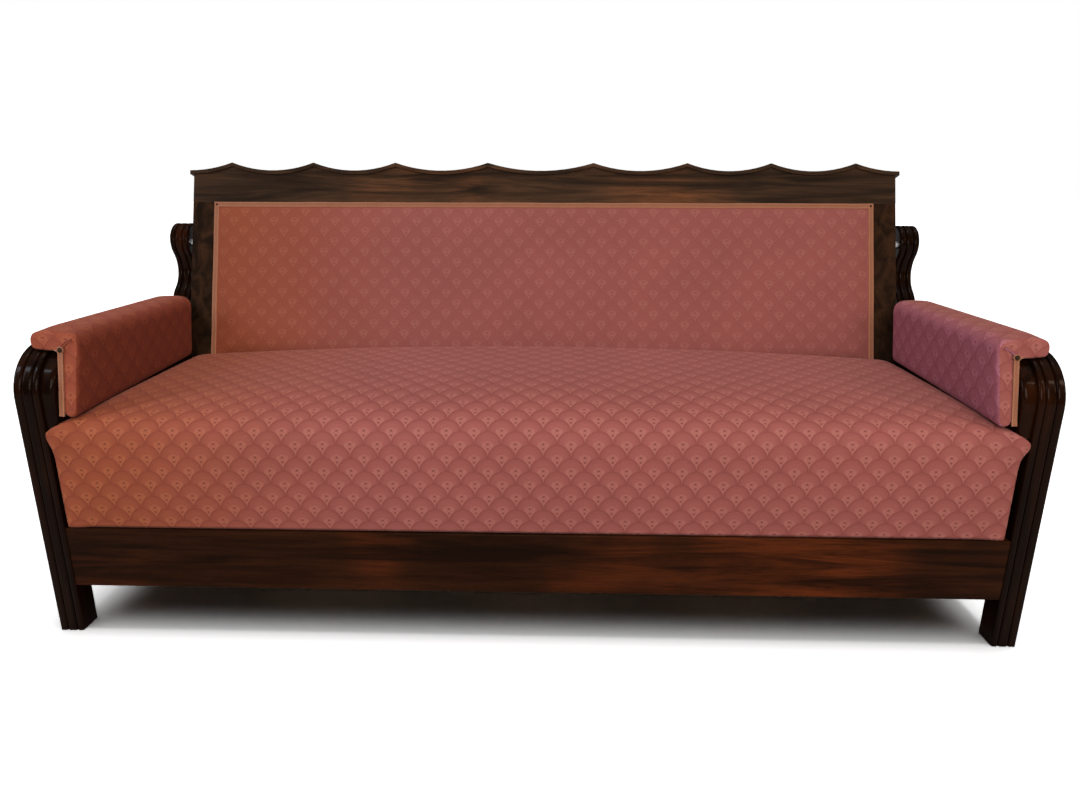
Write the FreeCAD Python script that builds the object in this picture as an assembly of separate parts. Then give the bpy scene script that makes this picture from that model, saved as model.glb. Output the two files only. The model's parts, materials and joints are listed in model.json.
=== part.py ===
# Upholstered wooden settee. Its back panel hangs on two steel pins in the heads of the rear posts.
# Millimetres. X runs to the right as seen from the front, Y runs to the rear, Z runs up.
# Left and right are as seen from the front. Depths are measured back from the front of the posts,
# and the finished pieces are moved so that the origin lies on the floor under the middle of the box.

import FreeCAD
import Part
import math
import os

Vector = FreeCAD.Vector

# Overall
overall_width = 2000.0        # outside to outside of the front posts

# Front posts: reeded planks that rise from the floor and bend back under the arms
reed_widths = (17.0, 20.0, 13.0)      # from the outside inwards
reed_round = 5.0
post_depth = 50.0
post_height = 607.0
bend_radius = 100.0
cheek_foot_width = 21.0       # plain inner part of the plank, from the rail up to the seat's edge
cheek_top_width = 30.0        # the same under the arm
cheek_setback = 8.0           # plain part behind the reeds, under the arm
cheek_round = 9.0

# Rails of the base
rail_floor_gap = 105.0
rail_height = 131.0
rail_thickness = 28.0
rail_setback = 4.0
rail_round = 3.0
stop_rail_height = 110.0
stop_rail_rise = 30.0         # top of the stop rail above the foot of the upright back
tenon_length = 24.0
tenon_thickness = 10.0
tenon_shoulder = 18.0
joint_gap = 0.2               # between a tenon, dowel or let-in board and its seat

# Rear posts: reeded planks with an S-shaped front and a round head
rear_post_inset = 15.0        # outer face inside the front posts' outer face
rear_reed_widths = (14.0, 19.0, 15.0)
pivot_to_back = 52.0          # flat back face behind the pivot axis
rear_foot_depth = 65.0
head_radius = 48.0
head_setback = 26.0           # head centre in front of the back face
neck_radius = 61.0
neck_drop = 67.0              # deepest point of the neck below the head centre
shoulder_radius = 70.0
shoulder_reach = 105.0        # front of the shoulder before the back face

# Back panel, measured from its pivot axis along the panel and across it
pivot_depth = 668.0
pivot_height = 757.0
pin_radius = 6.0
pin_end_gap = 2.0             # pin end short of the post's outer face
pin_reach = 42.0              # pin into the back's stile
pin_clearance = 0.05
spacer_radius = 10.0
spacer_gap = 0.5              # free play beside the spacer
bush_wall = 5.0
bush_flange_width = 4.0
bush_flange_thickness = 2.0
lean = 18.4                   # degrees from upright, as the settee stands
panel_gap = 12.0              # between a rear post and the back panel
panel_thickness = 34.0
stile_width = 57.0
crest_underside = 104.0
crest_valley = 177.0
scallop_rise = 21.0
scallop_spans = (278.0, 245.5, 218.0, 218.0)   # peak to peak, the middle one first
cap_thickness = 10.0
cap_front_overhang = 6.0
cap_back_overhang = 4.0
cap_end_overhang = 8.0
panel_foot_level = 449.0      # foot of the upright panel above the floor
bottom_rail_height = 60.0
lining_thickness = 3.0
lining_setback = 2.0
centre_stile_width = 50.0
back_pad_edge = 2.0           # upholstery proud of the stiles at its edge
back_pad_crown = 10.0         # further swell in the middle
back_pad_depth = 15.0
back_strap_count = 9
long_strap_levels = (0.33, 0.67)      # lengthwise straps of the back, shares of its height
back_braid_width = 14.0
braid_thickness = 3.0

# Arms
arm_rail_height = 50.0
arm_board_thickness = 20.0
arm_board_height = 306.0
arm_board_rear_gap = 8.0      # board short of the pad's rear end
outside_panel_thickness = 20.0
outside_panel_inset = 14.0    # outer face inside the rear post's outer face
pad_front = 40.0
pad_rake = 24.0               # lower front edge of the pad, ahead of its top
pad_rear_reach = 160.0        # rear end before the pivot axis
pad_rise = 27.0               # top above the arm rails
pad_outer_inset = 26.0        # pad edge inside the front posts' outer face
pad_width = 101.0
pad_inner_slope = 20.0        # inner face leans in over the seat by this much
pad_round = 9.0
pad_foot_gap = 9.0            # under the pad, above the seat
pad_foot_fall = 15.0          # the pad's lower edge drops this much to the front
pad_gap = 0.8                 # between upholstery and the wood beside it
arm_braid_width = 11.0
nail_radius = 5.0

# Seat unit
seat_lift = 4.0               # dark gap between the front rail and the seat
seat_front = 4.0
seat_end_gap = 11.0           # between the seat and the arm boards
seat_rear_gap = 3.0           # between the seat and the stop rail
seat_skirt = 10.0             # cover and stuffing over the frame
front_face_top = 420.0        # top of the seat's flat front
nose_radius = 52.0
nose_turn = 60.0              # degrees of the rounded front edge
nose_run = 70.0               # from the front edge back to the fuller part of the crown
rear_round = 26.0
seat_end_rise = 16.0          # seat above its rounded front edge, at the ends
seat_crown_rise = 46.0        # seat above its rounded front edge, in the middle
half_run_share = 0.40         # share of the rise reached halfway along the nose run
full_run_share = 0.62         # and at its end
crown_share = 0.93            # and midway between there and the ridge
ridge_gap = 24.0              # ridge of the seat in front of the back's face
ridge_width = 18.0
ridge_bulge = 10.0
shelf_gap = 5.0               # seat behind the ridge, below the sweep of the back
shelf_run = 4.0               # foot of the ridge in front of the back's face
ear_depth = 27.0              # seat's front corners, in front of the posts' plain part
ear_height = 448.0
ear_round = 24.0
ear_gap = 1.5
frame_height = 60.0
frame_thickness = 28.0
stuffing_depth = 36.0         # from the springs up to the lowest part of the seat's top
cleat_thickness = 25.0
cleat_height = 45.0
bearer_thickness = 40.0
bearer_height = 60.0
bearer_count = 3
block_leg = 60.0
screw_radius = 2.5
screw_length = 42.0
screw_head_radius = 5.0
screw_levels = (0.25, 0.5)    # shares of the rail's height
screw_place = 0.33            # share of the block's leg
strap_width = 50.0
strap_thickness = 2.0
cross_strap_count = 16
long_strap_count = 5
spring_columns = 8
spring_rows = 3
spring_radius = 42.0
spring_wire = 1.9             # radius of the wire
spring_turns = 4
spring_wire_sides = 6         # the thin wire is drawn with flats
cloth_thickness = 1.5
cloth_gap = 0.5
closeness = 0.001             # places nearer than this count as the same

# Levels and places worked out from the sizes above
half_width = overall_width / 2
reeded_width = sum(reed_widths)
reed_inner = half_width - reeded_width
bend_height = post_height - bend_radius
rail_top = rail_floor_gap + rail_height
rear_back = pivot_depth + pivot_to_back
shoulder_front = rear_back - shoulder_reach
rear_outer = half_width - rear_post_inset
rear_width = sum(rear_reed_widths)
rear_inner = rear_outer - rear_width
side_middle = (reed_inner + rear_outer) / 2
arm_rail_base = post_height - arm_rail_height
arm_rail_middle = post_height - arm_rail_height / 2
front_rail_back = rail_setback + rail_thickness
panel_half = rear_inner - panel_gap
panel_front = panel_thickness / 2
opening_half = panel_half - stile_width
cap_half = panel_half + cap_end_overhang
panel_foot = pivot_height - panel_foot_level
foot_sweep = math.hypot(panel_foot, panel_front)
seat_base = rail_top + seat_lift
shelf_height = pivot_height - foot_sweep - shelf_gap
pad_rear = pivot_depth - pad_rear_reach
pad_top = post_height + pad_rise
pad_outer = half_width - pad_outer_inset
pad_inner = pad_outer - pad_width
board_outer = rear_inner
board_inner = board_outer - arm_board_thickness
seat_half = board_inner - seat_end_gap
stop_front = pivot_depth + panel_front + spacer_gap
seat_rear = stop_front - seat_rear_gap
frame_half = seat_half - seat_skirt
frame_front = seat_front + seat_skirt
frame_rear = seat_rear - seat_skirt
frame_top = seat_base + frame_height
spring_top = shelf_height - stuffing_depth
ear_top = ear_height + ear_gap
nose_end = seat_front + nose_radius * (1 - math.cos(math.radians(nose_turn)))
nose_height = front_face_top + nose_radius * math.sin(math.radians(nose_turn))
cheek_notch = max(front_rail_back, seat_front + ear_depth) + ear_gap
pad_foot_rear = nose_height + seat_end_rise + pad_foot_gap
pad_foot_front = pad_foot_rear - pad_foot_fall
lean_sine = math.sin(math.radians(lean))
lean_cosine = math.cos(math.radians(lean))
crest_top = crest_valley + scallop_rise + cap_thickness


def leaned(across, along):
    # depth and height of a point of the leaning panel, given across and along it from the pivot
    depth = pivot_depth + across * lean_cosine + along * lean_sine
    height = pivot_height - across * lean_sine + along * lean_cosine
    return depth, height


cap_end_top = crest_valley + cap_thickness
overall_depth = leaned(panel_front + cap_back_overhang, crest_top)[0]


def block(x0, x1, y0, y1, z0, z1):
    return Part.makeBox(x1 - x0, y1 - y0, z1 - z0, Vector(x0, y0, z0))


def side_point(depth, height):
    return Vector(0, depth, height)


def line(start, end):
    return Part.LineSegment(start, end).toShape()


def arc(start, middle, end):
    return Part.Arc(start, middle, end).toShape()


def polygon(points):
    return [line(a, b) for a, b in zip(points, points[1:] + points[:1])]


def prism(edges, start, run):
    # closed outline moved by start and pushed along run
    face = Part.Face(Part.Wire(Part.__sortEdges__(edges)))
    face.translate(start)
    return face.extrude(run)


def across_x(edges, x0, x1):
    return prism(edges, Vector(x0, 0, 0), Vector(x1 - x0, 0, 0))


def rod_x(radius, x0, x1, depth, height):
    return Part.makeCylinder(radius, x1 - x0, Vector(x0, depth, height), Vector(1, 0, 0))


def mirrored(shape):
    return shape.mirror(Vector(0, 0, 0), Vector(1, 0, 0))


def joined(shapes):
    return shapes[0].multiFuse(shapes[1:]).removeSplitter()


def grown(shape_edges, x0, x1, gap):
    # the same outline and width, larger by gap all round, to cut a clearance
    outline = Part.Wire(Part.__sortEdges__(shape_edges)).makeOffset2D(gap)
    face = Part.Face(outline)
    face.translate(Vector(x0 - gap, 0, 0))
    return face.extrude(Vector(x1 - x0 + 2 * gap, 0, 0))


def reeded(edges, widths, outer, is_front, radius):
    # planks side by side from the outside inwards, each with its front edges rounded
    planks = []
    edge_x = outer
    for width in widths:
        plank = across_x(edges, edge_x - width, edge_x)
        front = [e for e in plank.Edges if is_front(e)]
        planks.append(plank.makeFillet(radius, front))
        edge_x -= width
    return joined(planks)


def along_front(points):
    # picks the long edges that run up the front of a plank, by depth and height at their middle
    def picks(edge):
        middle = edge.valueAt((edge.FirstParameter + edge.LastParameter) / 2)
        runs_up = abs(edge.BoundBox.XLength) < closeness
        return runs_up and any(math.hypot(middle.y - y, middle.z - z) < closeness for y, z in points)
    return picks


def polar(centre, radius, degrees):
    return (centre[0] + radius * math.cos(math.radians(degrees)),
            centre[1] + radius * math.sin(math.radians(degrees)))


# Front posts

def post_outline(setback):
    # side view of the bent plank, its front moved back by setback
    radius = bend_radius - setback
    inner = bend_radius - post_depth
    centre = (bend_radius, bend_height)
    return [
        line(side_point(setback, 0), side_point(setback, bend_height)),
        arc(side_point(setback, bend_height), side_point(*polar(centre, radius, 135)),
            side_point(bend_radius, bend_height + radius)),
        line(side_point(bend_radius, bend_height + radius), side_point(bend_radius, bend_height + inner)),
        arc(side_point(bend_radius, bend_height + inner), side_point(*polar(centre, inner, 135)),
            side_point(post_depth, bend_height)),
        line(side_point(post_depth, bend_height), side_point(post_depth, 0)),
        line(side_point(post_depth, 0), side_point(setback, 0)),
    ]


def cheek_edge(height):
    # how far the plain part reaches in from the reeds at a height: it widens from the seat to the arm
    share = (height - ear_top) / (post_height - ear_top)
    return cheek_foot_width + (cheek_top_width - cheek_foot_width) * share


def on_bend(edge, radius):
    # an edge that follows the bend of the plank at a radius
    middle = edge.valueAt((edge.FirstParameter + edge.LastParameter) / 2)
    reach = math.hypot(middle.y - bend_radius, middle.z - bend_height)
    return abs(reach - radius) < closeness and middle.z > bend_height


def front_post():
    centre = (bend_radius, bend_height)
    front = [(0, bend_height / 2), polar(centre, bend_radius, 135)]
    post = reeded(post_outline(0), reed_widths, half_width, along_front(front), reed_round)
    inner = reed_inner - cheek_top_width
    cheek = across_x(post_outline(cheek_setback), inner, reed_inner)
    shape_front = [
        Vector(reed_inner, 0, rail_floor_gap), Vector(reed_inner - cheek_foot_width, 0, rail_floor_gap),
        Vector(reed_inner - cheek_foot_width, 0, ear_top),
        Vector(inner, 0, post_height), Vector(reed_inner, 0, post_height),
    ]
    cheek = cheek.common(prism(polygon(shape_front), Vector(0, 0, 0), Vector(0, bend_radius, 0)))
    bend_edges = [e for e in cheek.Edges if on_bend(e, bend_radius - cheek_setback)
                  and e.BoundBox.XMax < reed_inner]
    cheek = cheek.makeFillet(cheek_round, bend_edges)
    recess = block(inner, reed_inner, 0, cheek_notch, rail_floor_gap - joint_gap, ear_top)
    return joined([post, cheek.cut(recess)])


def front_rail_tenon(gap):
    middle = rail_setback + rail_thickness / 2
    return block(reed_inner - gap, reed_inner + tenon_length + gap,
                 middle - tenon_thickness / 2 - gap, middle + tenon_thickness / 2 + gap,
                 rail_floor_gap + tenon_shoulder - gap, rail_top - tenon_shoulder + gap)


def side_rail_tenon(gap):
    return block(side_middle - tenon_thickness / 2 - gap, side_middle + tenon_thickness / 2 + gap,
                 post_depth - tenon_length - gap, rear_back - tenon_length + gap,
                 rail_floor_gap + tenon_shoulder - gap, rail_top - tenon_shoulder + gap)


def arm_dowels(gap):
    # two dowels between the end of the bend and the arm rail
    radius = tenon_thickness / 2 + gap
    reach = tenon_length + gap
    places = (side_middle - tenon_thickness, side_middle + tenon_thickness)
    starts = [Vector(x, bend_radius - reach, arm_rail_middle) for x in places]
    return [Part.makeCylinder(radius, 2 * reach, start, Vector(0, 1, 0)) for start in starts]


# Rear posts

def rear_outline():
    head = (rear_back - head_setback, pivot_height)
    neck_height = pivot_height - neck_drop
    neck = (head[0] - math.sqrt((head_radius + neck_radius) ** 2 - neck_drop ** 2), neck_height)
    shoulder_depth = shoulder_front + shoulder_radius
    fall = math.sqrt((neck_radius + shoulder_radius) ** 2 - (shoulder_depth - neck[0]) ** 2)
    shoulder = (shoulder_depth, neck_height - fall)
    foot = (rear_back - rear_foot_depth, 0)
    reach = (shoulder[0] - foot[0], shoulder[1] - foot[1])
    length = math.hypot(*reach)
    turn = math.asin(shoulder_radius / length)
    run = math.sqrt(length ** 2 - shoulder_radius ** 2) / length
    knee = (foot[0] + run * (reach[0] * math.cos(turn) - reach[1] * math.sin(turn)),
            foot[1] + run * (reach[0] * math.sin(turn) + reach[1] * math.cos(turn)))

    def bearing(a, b):
        return math.degrees(math.atan2(b[1] - a[1], b[0] - a[0])) % 360

    start = math.degrees(math.acos(head_setback / head_radius))
    top = polar(head, head_radius, start)
    leave = bearing(head, neck)
    under_head = polar(head, head_radius, leave)
    neck_middle = (bearing(neck, head) + bearing(neck, shoulder) - 360) / 2
    under_neck = polar(neck, neck_radius, bearing(neck, shoulder))
    shoulder_middle = (bearing(shoulder, neck) + bearing(shoulder, knee)) / 2
    arcs = [
        (top, polar(head, head_radius, (start + leave) / 2), under_head),
        (under_head, polar(neck, neck_radius, neck_middle), under_neck),
        (under_neck, polar(shoulder, shoulder_radius, shoulder_middle), knee),
    ]
    edges = [arc(*[side_point(*p) for p in points]) for points in arcs]
    edges.append(line(side_point(*knee), side_point(*foot)))
    edges.append(line(side_point(*foot), side_point(rear_back, 0)))
    edges.append(line(side_point(rear_back, 0), side_point(*top)))
    middle_of_leg = ((knee[0] + foot[0]) / 2, (knee[1] + foot[1]) / 2)
    return edges, [points[1] for points in arcs] + [middle_of_leg]


def rear_rail_tenon(bottom, top, gap):
    middle = stop_front + rail_thickness / 2
    return block(rear_inner - gap, rear_inner + tenon_length + gap,
                 middle - tenon_thickness / 2 - gap, middle + tenon_thickness / 2 + gap,
                 bottom + tenon_shoulder - gap, top - tenon_shoulder + gap)


def stop_rail_levels():
    top = pivot_height - panel_foot + stop_rail_rise
    return top - stop_rail_height, top


def arm_rail_tenon(gap):
    return block(side_middle - tenon_thickness / 2 - gap, side_middle + tenon_thickness / 2 + gap,
                 shoulder_front - tenon_length, shoulder_front + tenon_length + gap,
                 arm_rail_middle - tenon_thickness - gap, arm_rail_middle + tenon_thickness + gap)


def rear_post():
    edges, front = rear_outline()
    post = reeded(edges, rear_reed_widths, rear_outer, along_front(front), reed_round)
    seats = [
        rod_x(pin_radius, rear_inner - joint_gap, rear_outer + joint_gap, pivot_depth, pivot_height),
        side_rail_tenon(joint_gap), arm_rail_tenon(joint_gap),
        rear_rail_tenon(rail_floor_gap, rail_top, joint_gap),
        rear_rail_tenon(*stop_rail_levels(), joint_gap),
    ]
    return post.cut(Part.makeCompound(seats))


def rear_prism():
    # the same plank without reeds and wider, to shape the ends that meet it
    return across_x(rear_outline()[0], rear_inner - rear_width, rear_outer + rear_width)


# Base and arm frame

def rounded_front(shape, front_depth):
    edges = [e for e in shape.Edges if abs(e.CenterOfMass.y - front_depth) < closeness
             and abs(e.BoundBox.ZLength) < closeness]
    return shape.makeFillet(rail_round, edges)


def front_rail():
    rail = block(-reed_inner, reed_inner, rail_setback, rail_setback + rail_thickness,
                 rail_floor_gap, rail_top)
    rail = rounded_front(rail, rail_setback)
    tenon = front_rail_tenon(0)
    return joined([rail, tenon, mirrored(tenon)])


def cross_rail(bottom, top):
    # a rail between the rear posts
    front = stop_front
    rail = block(-rear_inner, rear_inner, front, front + rail_thickness, bottom, top)
    tenon = rear_rail_tenon(bottom, top, 0)
    return joined([rail, tenon, mirrored(tenon)])


def side_rail():
    rail = block(side_middle - rail_thickness / 2, side_middle + rail_thickness / 2, post_depth, rear_back,
                 rail_floor_gap, rail_top)
    return joined([rail.cut(rear_prism()), side_rail_tenon(0)])


def arm_rail():
    rail = block(rear_inner, rear_outer, bend_radius, rear_back, arm_rail_base, post_height)
    rail = rail.cut(rear_prism())
    rail = joined([rail, arm_rail_tenon(0)])
    return rail.cut(Part.makeCompound(arm_dowels(joint_gap)))


def outside_panel():
    outer = rear_outer - outside_panel_inset
    panel = block(outer - outside_panel_thickness, outer, post_depth, rear_back, rail_top, arm_rail_base)
    bend = across_x(post_outline(0), outer - outside_panel_thickness, outer)
    return panel.cut(rear_prism()).cut(bend)


def arm_board():
    # stands inside the arm rail, notched under the bend of the post
    board = block(board_inner, board_outer, post_depth, pad_rear - arm_board_rear_gap,
                  post_height - arm_board_height, post_height)
    notch = block(board_inner, board_outer, post_depth, bend_radius, bend_height, post_height)
    return board.cut(notch)


def cleat(front):
    return block(-frame_half, frame_half, front, front + cleat_thickness,
                 seat_base - cleat_height, seat_base)


def bearer_places():
    step = 2 * frame_half / (bearer_count + 1)
    return [-frame_half + step * (i + 1) for i in range(bearer_count)]


def bearer(x):
    top = seat_base - cleat_height
    return block(x - bearer_thickness / 2, x + bearer_thickness / 2, front_rail_back, stop_front,
                 top - bearer_height, top)


def corner_block():
    # triangular block in the corner between the front rail and the right front post
    x = reed_inner - cheek_foot_width
    y = front_rail_back
    outline = [Vector(x, y, 0), Vector(x - block_leg, y, 0), Vector(x, y + block_leg, 0)]
    top = seat_base - cleat_height
    return prism(polygon(outline), Vector(0, 0, rail_floor_gap), Vector(0, 0, top - rail_floor_gap))


def block_screws():
    # two screws through the corner block into the front rail
    x = reed_inner - cheek_foot_width - block_leg * screw_place
    screws = []
    for share in screw_levels:
        seat = Vector(x, front_rail_back + block_leg / 2, rail_floor_gap + rail_height * share)
        shank = Part.makeCylinder(screw_radius, screw_length, seat, Vector(0, -1, 0))
        head = Part.makeCone(screw_radius, screw_head_radius, screw_head_radius, seat, Vector(0, 1, 0))
        screws.append(shank.fuse(head))
    return screws


# Pivots

def pivot_pin():
    return rod_x(pin_radius, panel_half - pin_reach, rear_outer - pin_end_gap, pivot_depth, pivot_height)


def pivot_spacer():
    outside = rod_x(spacer_radius, panel_half + spacer_gap, rear_inner, pivot_depth, pivot_height)
    return outside.cut(rod_x(pin_radius, panel_half, rear_inner, pivot_depth, pivot_height))


def bush_outside(gap):
    # bush and its let-in flange, in the frame of the upright panel
    tube = rod_x(pin_radius + bush_wall + gap, panel_half - pin_reach - gap, panel_half, 0, 0)
    flange = rod_x(pin_radius + bush_wall + bush_flange_width + gap,
                   panel_half - bush_flange_thickness - gap, panel_half, 0, 0)
    return tube.fuse(flange)


def pivot_bush():
    bore = rod_x(pin_radius + pin_clearance, panel_half - 2 * pin_reach, panel_half, 0, 0)
    return bush_outside(0).cut(bore)


# Back panel, drawn upright with its pivot axis at the origin

def crest_edges(lift):
    # scalloped line from end to end, as wide as the cap
    peak = crest_valley + scallop_rise + lift
    valley = crest_valley + lift
    peaks = [scallop_spans[0] / 2]
    for span in scallop_spans[1:]:
        peaks.append(peaks[-1] + span)
    places = [-x for x in reversed(peaks)] + peaks
    edges = []
    for a, b in zip(places, places[1:]):
        edges.append(arc(Vector(a, 0, peak), Vector((a + b) / 2, 0, valley), Vector(b, 0, peak)))
    run = cap_half - peaks[-1]
    radius = (run ** 2 + scallop_rise ** 2) / (2 * scallop_rise)
    middle = valley + radius - math.sqrt(radius ** 2 - (run / 2) ** 2)
    for side in (-1, 1):
        edges.append(arc(Vector(side * peaks[-1], 0, peak),
                         Vector(side * (peaks[-1] + run / 2), 0, middle),
                         Vector(side * cap_half, 0, valley)))
    return edges


def crest_rail():
    ends = [Vector(-cap_half, 0, crest_valley), Vector(-cap_half, 0, crest_underside),
            Vector(cap_half, 0, crest_underside), Vector(cap_half, 0, crest_valley)]
    outline = crest_edges(0) + [line(a, b) for a, b in zip(ends, ends[1:])]
    board = prism(outline, Vector(0, -panel_front, 0), Vector(0, panel_thickness, 0))
    board = board.common(block(-panel_half, panel_half, -panel_front, panel_front,
                               crest_underside, crest_top))
    seats = [stile_tenon(joint_gap), mirrored(stile_tenon(joint_gap))]
    return board.cut(Part.makeCompound(seats))


def crest_cap():
    upper = crest_edges(cap_thickness)
    ends = [line(Vector(x, 0, crest_valley), Vector(x, 0, cap_end_top)) for x in (-cap_half, cap_half)]
    return prism(crest_edges(0) + upper + ends, Vector(0, -panel_front - cap_front_overhang, 0),
                 Vector(0, panel_thickness + cap_front_overhang + cap_back_overhang, 0))


def stile_tenon(gap):
    middle = panel_half - stile_width / 2
    half = stile_width / 2 - tenon_shoulder
    return block(middle - half - gap, middle + half + gap, -tenon_thickness / 2 - gap,
                 tenon_thickness / 2 + gap, crest_underside - gap, crest_underside + tenon_length + gap)


def bottom_rail_tenon(gap):
    return block(opening_half - gap, opening_half + tenon_length + gap,
                 bottom_rail_middle() - tenon_thickness / 2 - gap,
                 bottom_rail_middle() + tenon_thickness / 2 + gap,
                 -panel_foot + tenon_shoulder - gap,
                 -panel_foot + bottom_rail_height - tenon_shoulder + gap)


def pad_back():
    # across the panel: rear face of the back's upholstery
    return -panel_front - back_pad_edge + back_pad_depth


def strap_back():
    return pad_back() + 2 * strap_thickness


def bottom_rail_middle():
    return (pad_back() + panel_front) / 2


def stile():
    bar = block(opening_half, panel_half, -panel_front, panel_front, -panel_foot, crest_underside)
    bar = joined([bar, stile_tenon(0)])
    return bar.cut(Part.makeCompound([bush_outside(0), bottom_rail_tenon(joint_gap)]))


def bottom_rail():
    bar = block(-opening_half, opening_half, pad_back(), panel_front, -panel_foot,
                -panel_foot + bottom_rail_height)
    tenon = bottom_rail_tenon(0)
    return joined([bar, tenon, mirrored(tenon)])


def opening_foot():
    return -panel_foot + bottom_rail_height


def lining_front():
    return panel_front - lining_setback - lining_thickness


def lining():
    return block(-opening_half, opening_half, lining_front(), lining_front() + lining_thickness,
                 opening_foot(), crest_underside)


def centre_stile():
    return block(-centre_stile_width / 2, centre_stile_width / 2, strap_back(), lining_front(),
                 opening_foot(), crest_underside)


def back_straps():
    straps = []
    step = 2 * opening_half / back_strap_count
    for i in range(back_strap_count):
        x = -opening_half + step * (i + 0.5)
        straps.append(block(x - strap_width / 2, x + strap_width / 2, pad_back(),
                            pad_back() + strap_thickness, opening_foot(), crest_underside))
    for share in long_strap_levels:
        level = opening_foot() + (crest_underside - opening_foot()) * share
        straps.append(block(-opening_half, opening_half, pad_back() + strap_thickness, strap_back(),
                            level - strap_width / 2, level + strap_width / 2))
    return Part.makeCompound(straps)


def back_pad():
    edge = -panel_front - back_pad_edge
    field_half = opening_half - back_braid_width - pad_gap
    field_top = crest_underside - back_braid_width - pad_gap
    foot = -panel_foot
    slab = block(-opening_half + pad_gap, opening_half - pad_gap, edge, pad_back(),
                 foot, crest_underside - pad_gap)
    outline = [
        line(side_point(edge, foot), side_point(edge, field_top)),
        arc(side_point(edge, field_top), side_point(edge - back_pad_crown, (foot + field_top) / 2),
            side_point(edge, foot)),
    ]
    return joined([slab, across_x(outline, -field_half, field_half)])


def back_braid():
    front = -panel_front - back_pad_edge - braid_thickness
    back = front + braid_thickness
    inner = opening_half - back_braid_width
    top = block(-opening_half, opening_half, front, back,
                crest_underside - back_braid_width, crest_underside)
    legs = [block(x, x + back_braid_width, front, back, -panel_foot, crest_underside)
            for x in (-opening_half, inner)]
    return joined([top] + legs)


def hung(shape):
    # from the upright drawing to the settee: leaned back about the pivot axis
    shape.rotate(Vector(0, 0, 0), Vector(1, 0, 0), -lean)
    shape.translate(Vector(0, pivot_depth, pivot_height))
    return shape


# Upholstered arms

def pad_front_at(height):
    # the pad's front face rakes forward towards the seat
    return pad_front - pad_rake * (pad_top - height) / (pad_top - pad_foot_front)


def cheek_inner(height):
    return reed_inner - cheek_edge(height)


def arm_pad():
    # thick inner side that leans in over the seat, and a top that laps over the bend and the arm rail
    low = pad_foot_front
    side_outline = [side_point(pad_front, pad_top), side_point(pad_rear, pad_top),
                    side_point(pad_rear, pad_foot_rear), side_point(pad_front - pad_rake, low)]
    front_outline = [Vector(pad_inner, 0, pad_top), Vector(pad_outer, 0, pad_top),
                     Vector(pad_outer, 0, low), Vector(pad_inner + pad_inner_slope, 0, low)]
    pad = across_x(polygon(side_outline), pad_inner, pad_outer)
    pad = pad.common(prism(polygon(front_outline), Vector(0, 0, 0), Vector(0, pad_rear, 0)))
    soft = [e for e in pad.Edges if abs(e.CenterOfMass.z - pad_top) < closeness]
    pad = pad.makeFillet(pad_round, soft)
    cheek_top = post_height + pad_gap
    cheek_outline = [
        Vector(cheek_inner(low) - pad_gap, 0, low), Vector(half_width, 0, low),
        Vector(half_width, 0, cheek_top), Vector(cheek_inner(post_height) - pad_gap, 0, cheek_top),
    ]
    beside_cheek = prism(polygon(cheek_outline), Vector(0, 0, 0), Vector(0, bend_radius, 0))
    bend = grown(post_outline(0), board_inner, half_width, pad_gap)
    over_rail = block(board_inner - pad_gap, half_width, post_depth, rear_back, 0, cheek_top)
    return pad.cut(bend.common(beside_cheek)).cut(over_rail).removeSplitter()


def arm_braid():
    # trim on the pad's front face, along the edge of the post's plain part
    low = pad_foot_front
    high = post_height
    outer_low = cheek_inner(low) - 2 * pad_gap
    outer_high = cheek_inner(high) - 2 * pad_gap
    front_outline = [Vector(outer_low, 0, low), Vector(outer_high, 0, high),
                     Vector(outer_high - arm_braid_width, 0, high),
                     Vector(outer_low - arm_braid_width, 0, low)]
    side_outline = [
        side_point(pad_front_at(low) - braid_thickness, low), side_point(pad_front_at(low), low),
        side_point(pad_front_at(high), high), side_point(pad_front_at(high) - braid_thickness, high),
    ]
    strip = prism(polygon(front_outline), Vector(0, 0, 0), Vector(0, post_depth, 0))
    return strip.common(across_x(polygon(side_outline), 0, half_width))


def arm_nail():
    # domed nail head at the top of the braid
    height = post_height + nail_radius + pad_gap
    x = cheek_inner(post_height) - 2 * pad_gap - arm_braid_width / 2
    low = height - nail_radius
    high = height + nail_radius
    front = pad_front_at(height) - nail_radius
    dome = Part.makeSphere(nail_radius, Vector(x, pad_front_at(height), height))
    ahead_of_pad = [side_point(front, low), side_point(pad_front_at(low), low),
                    side_point(pad_front_at(high), high), side_point(front, high)]
    return dome.common(across_x(polygon(ahead_of_pad), x - nail_radius, x + nail_radius))


# Seat

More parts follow.
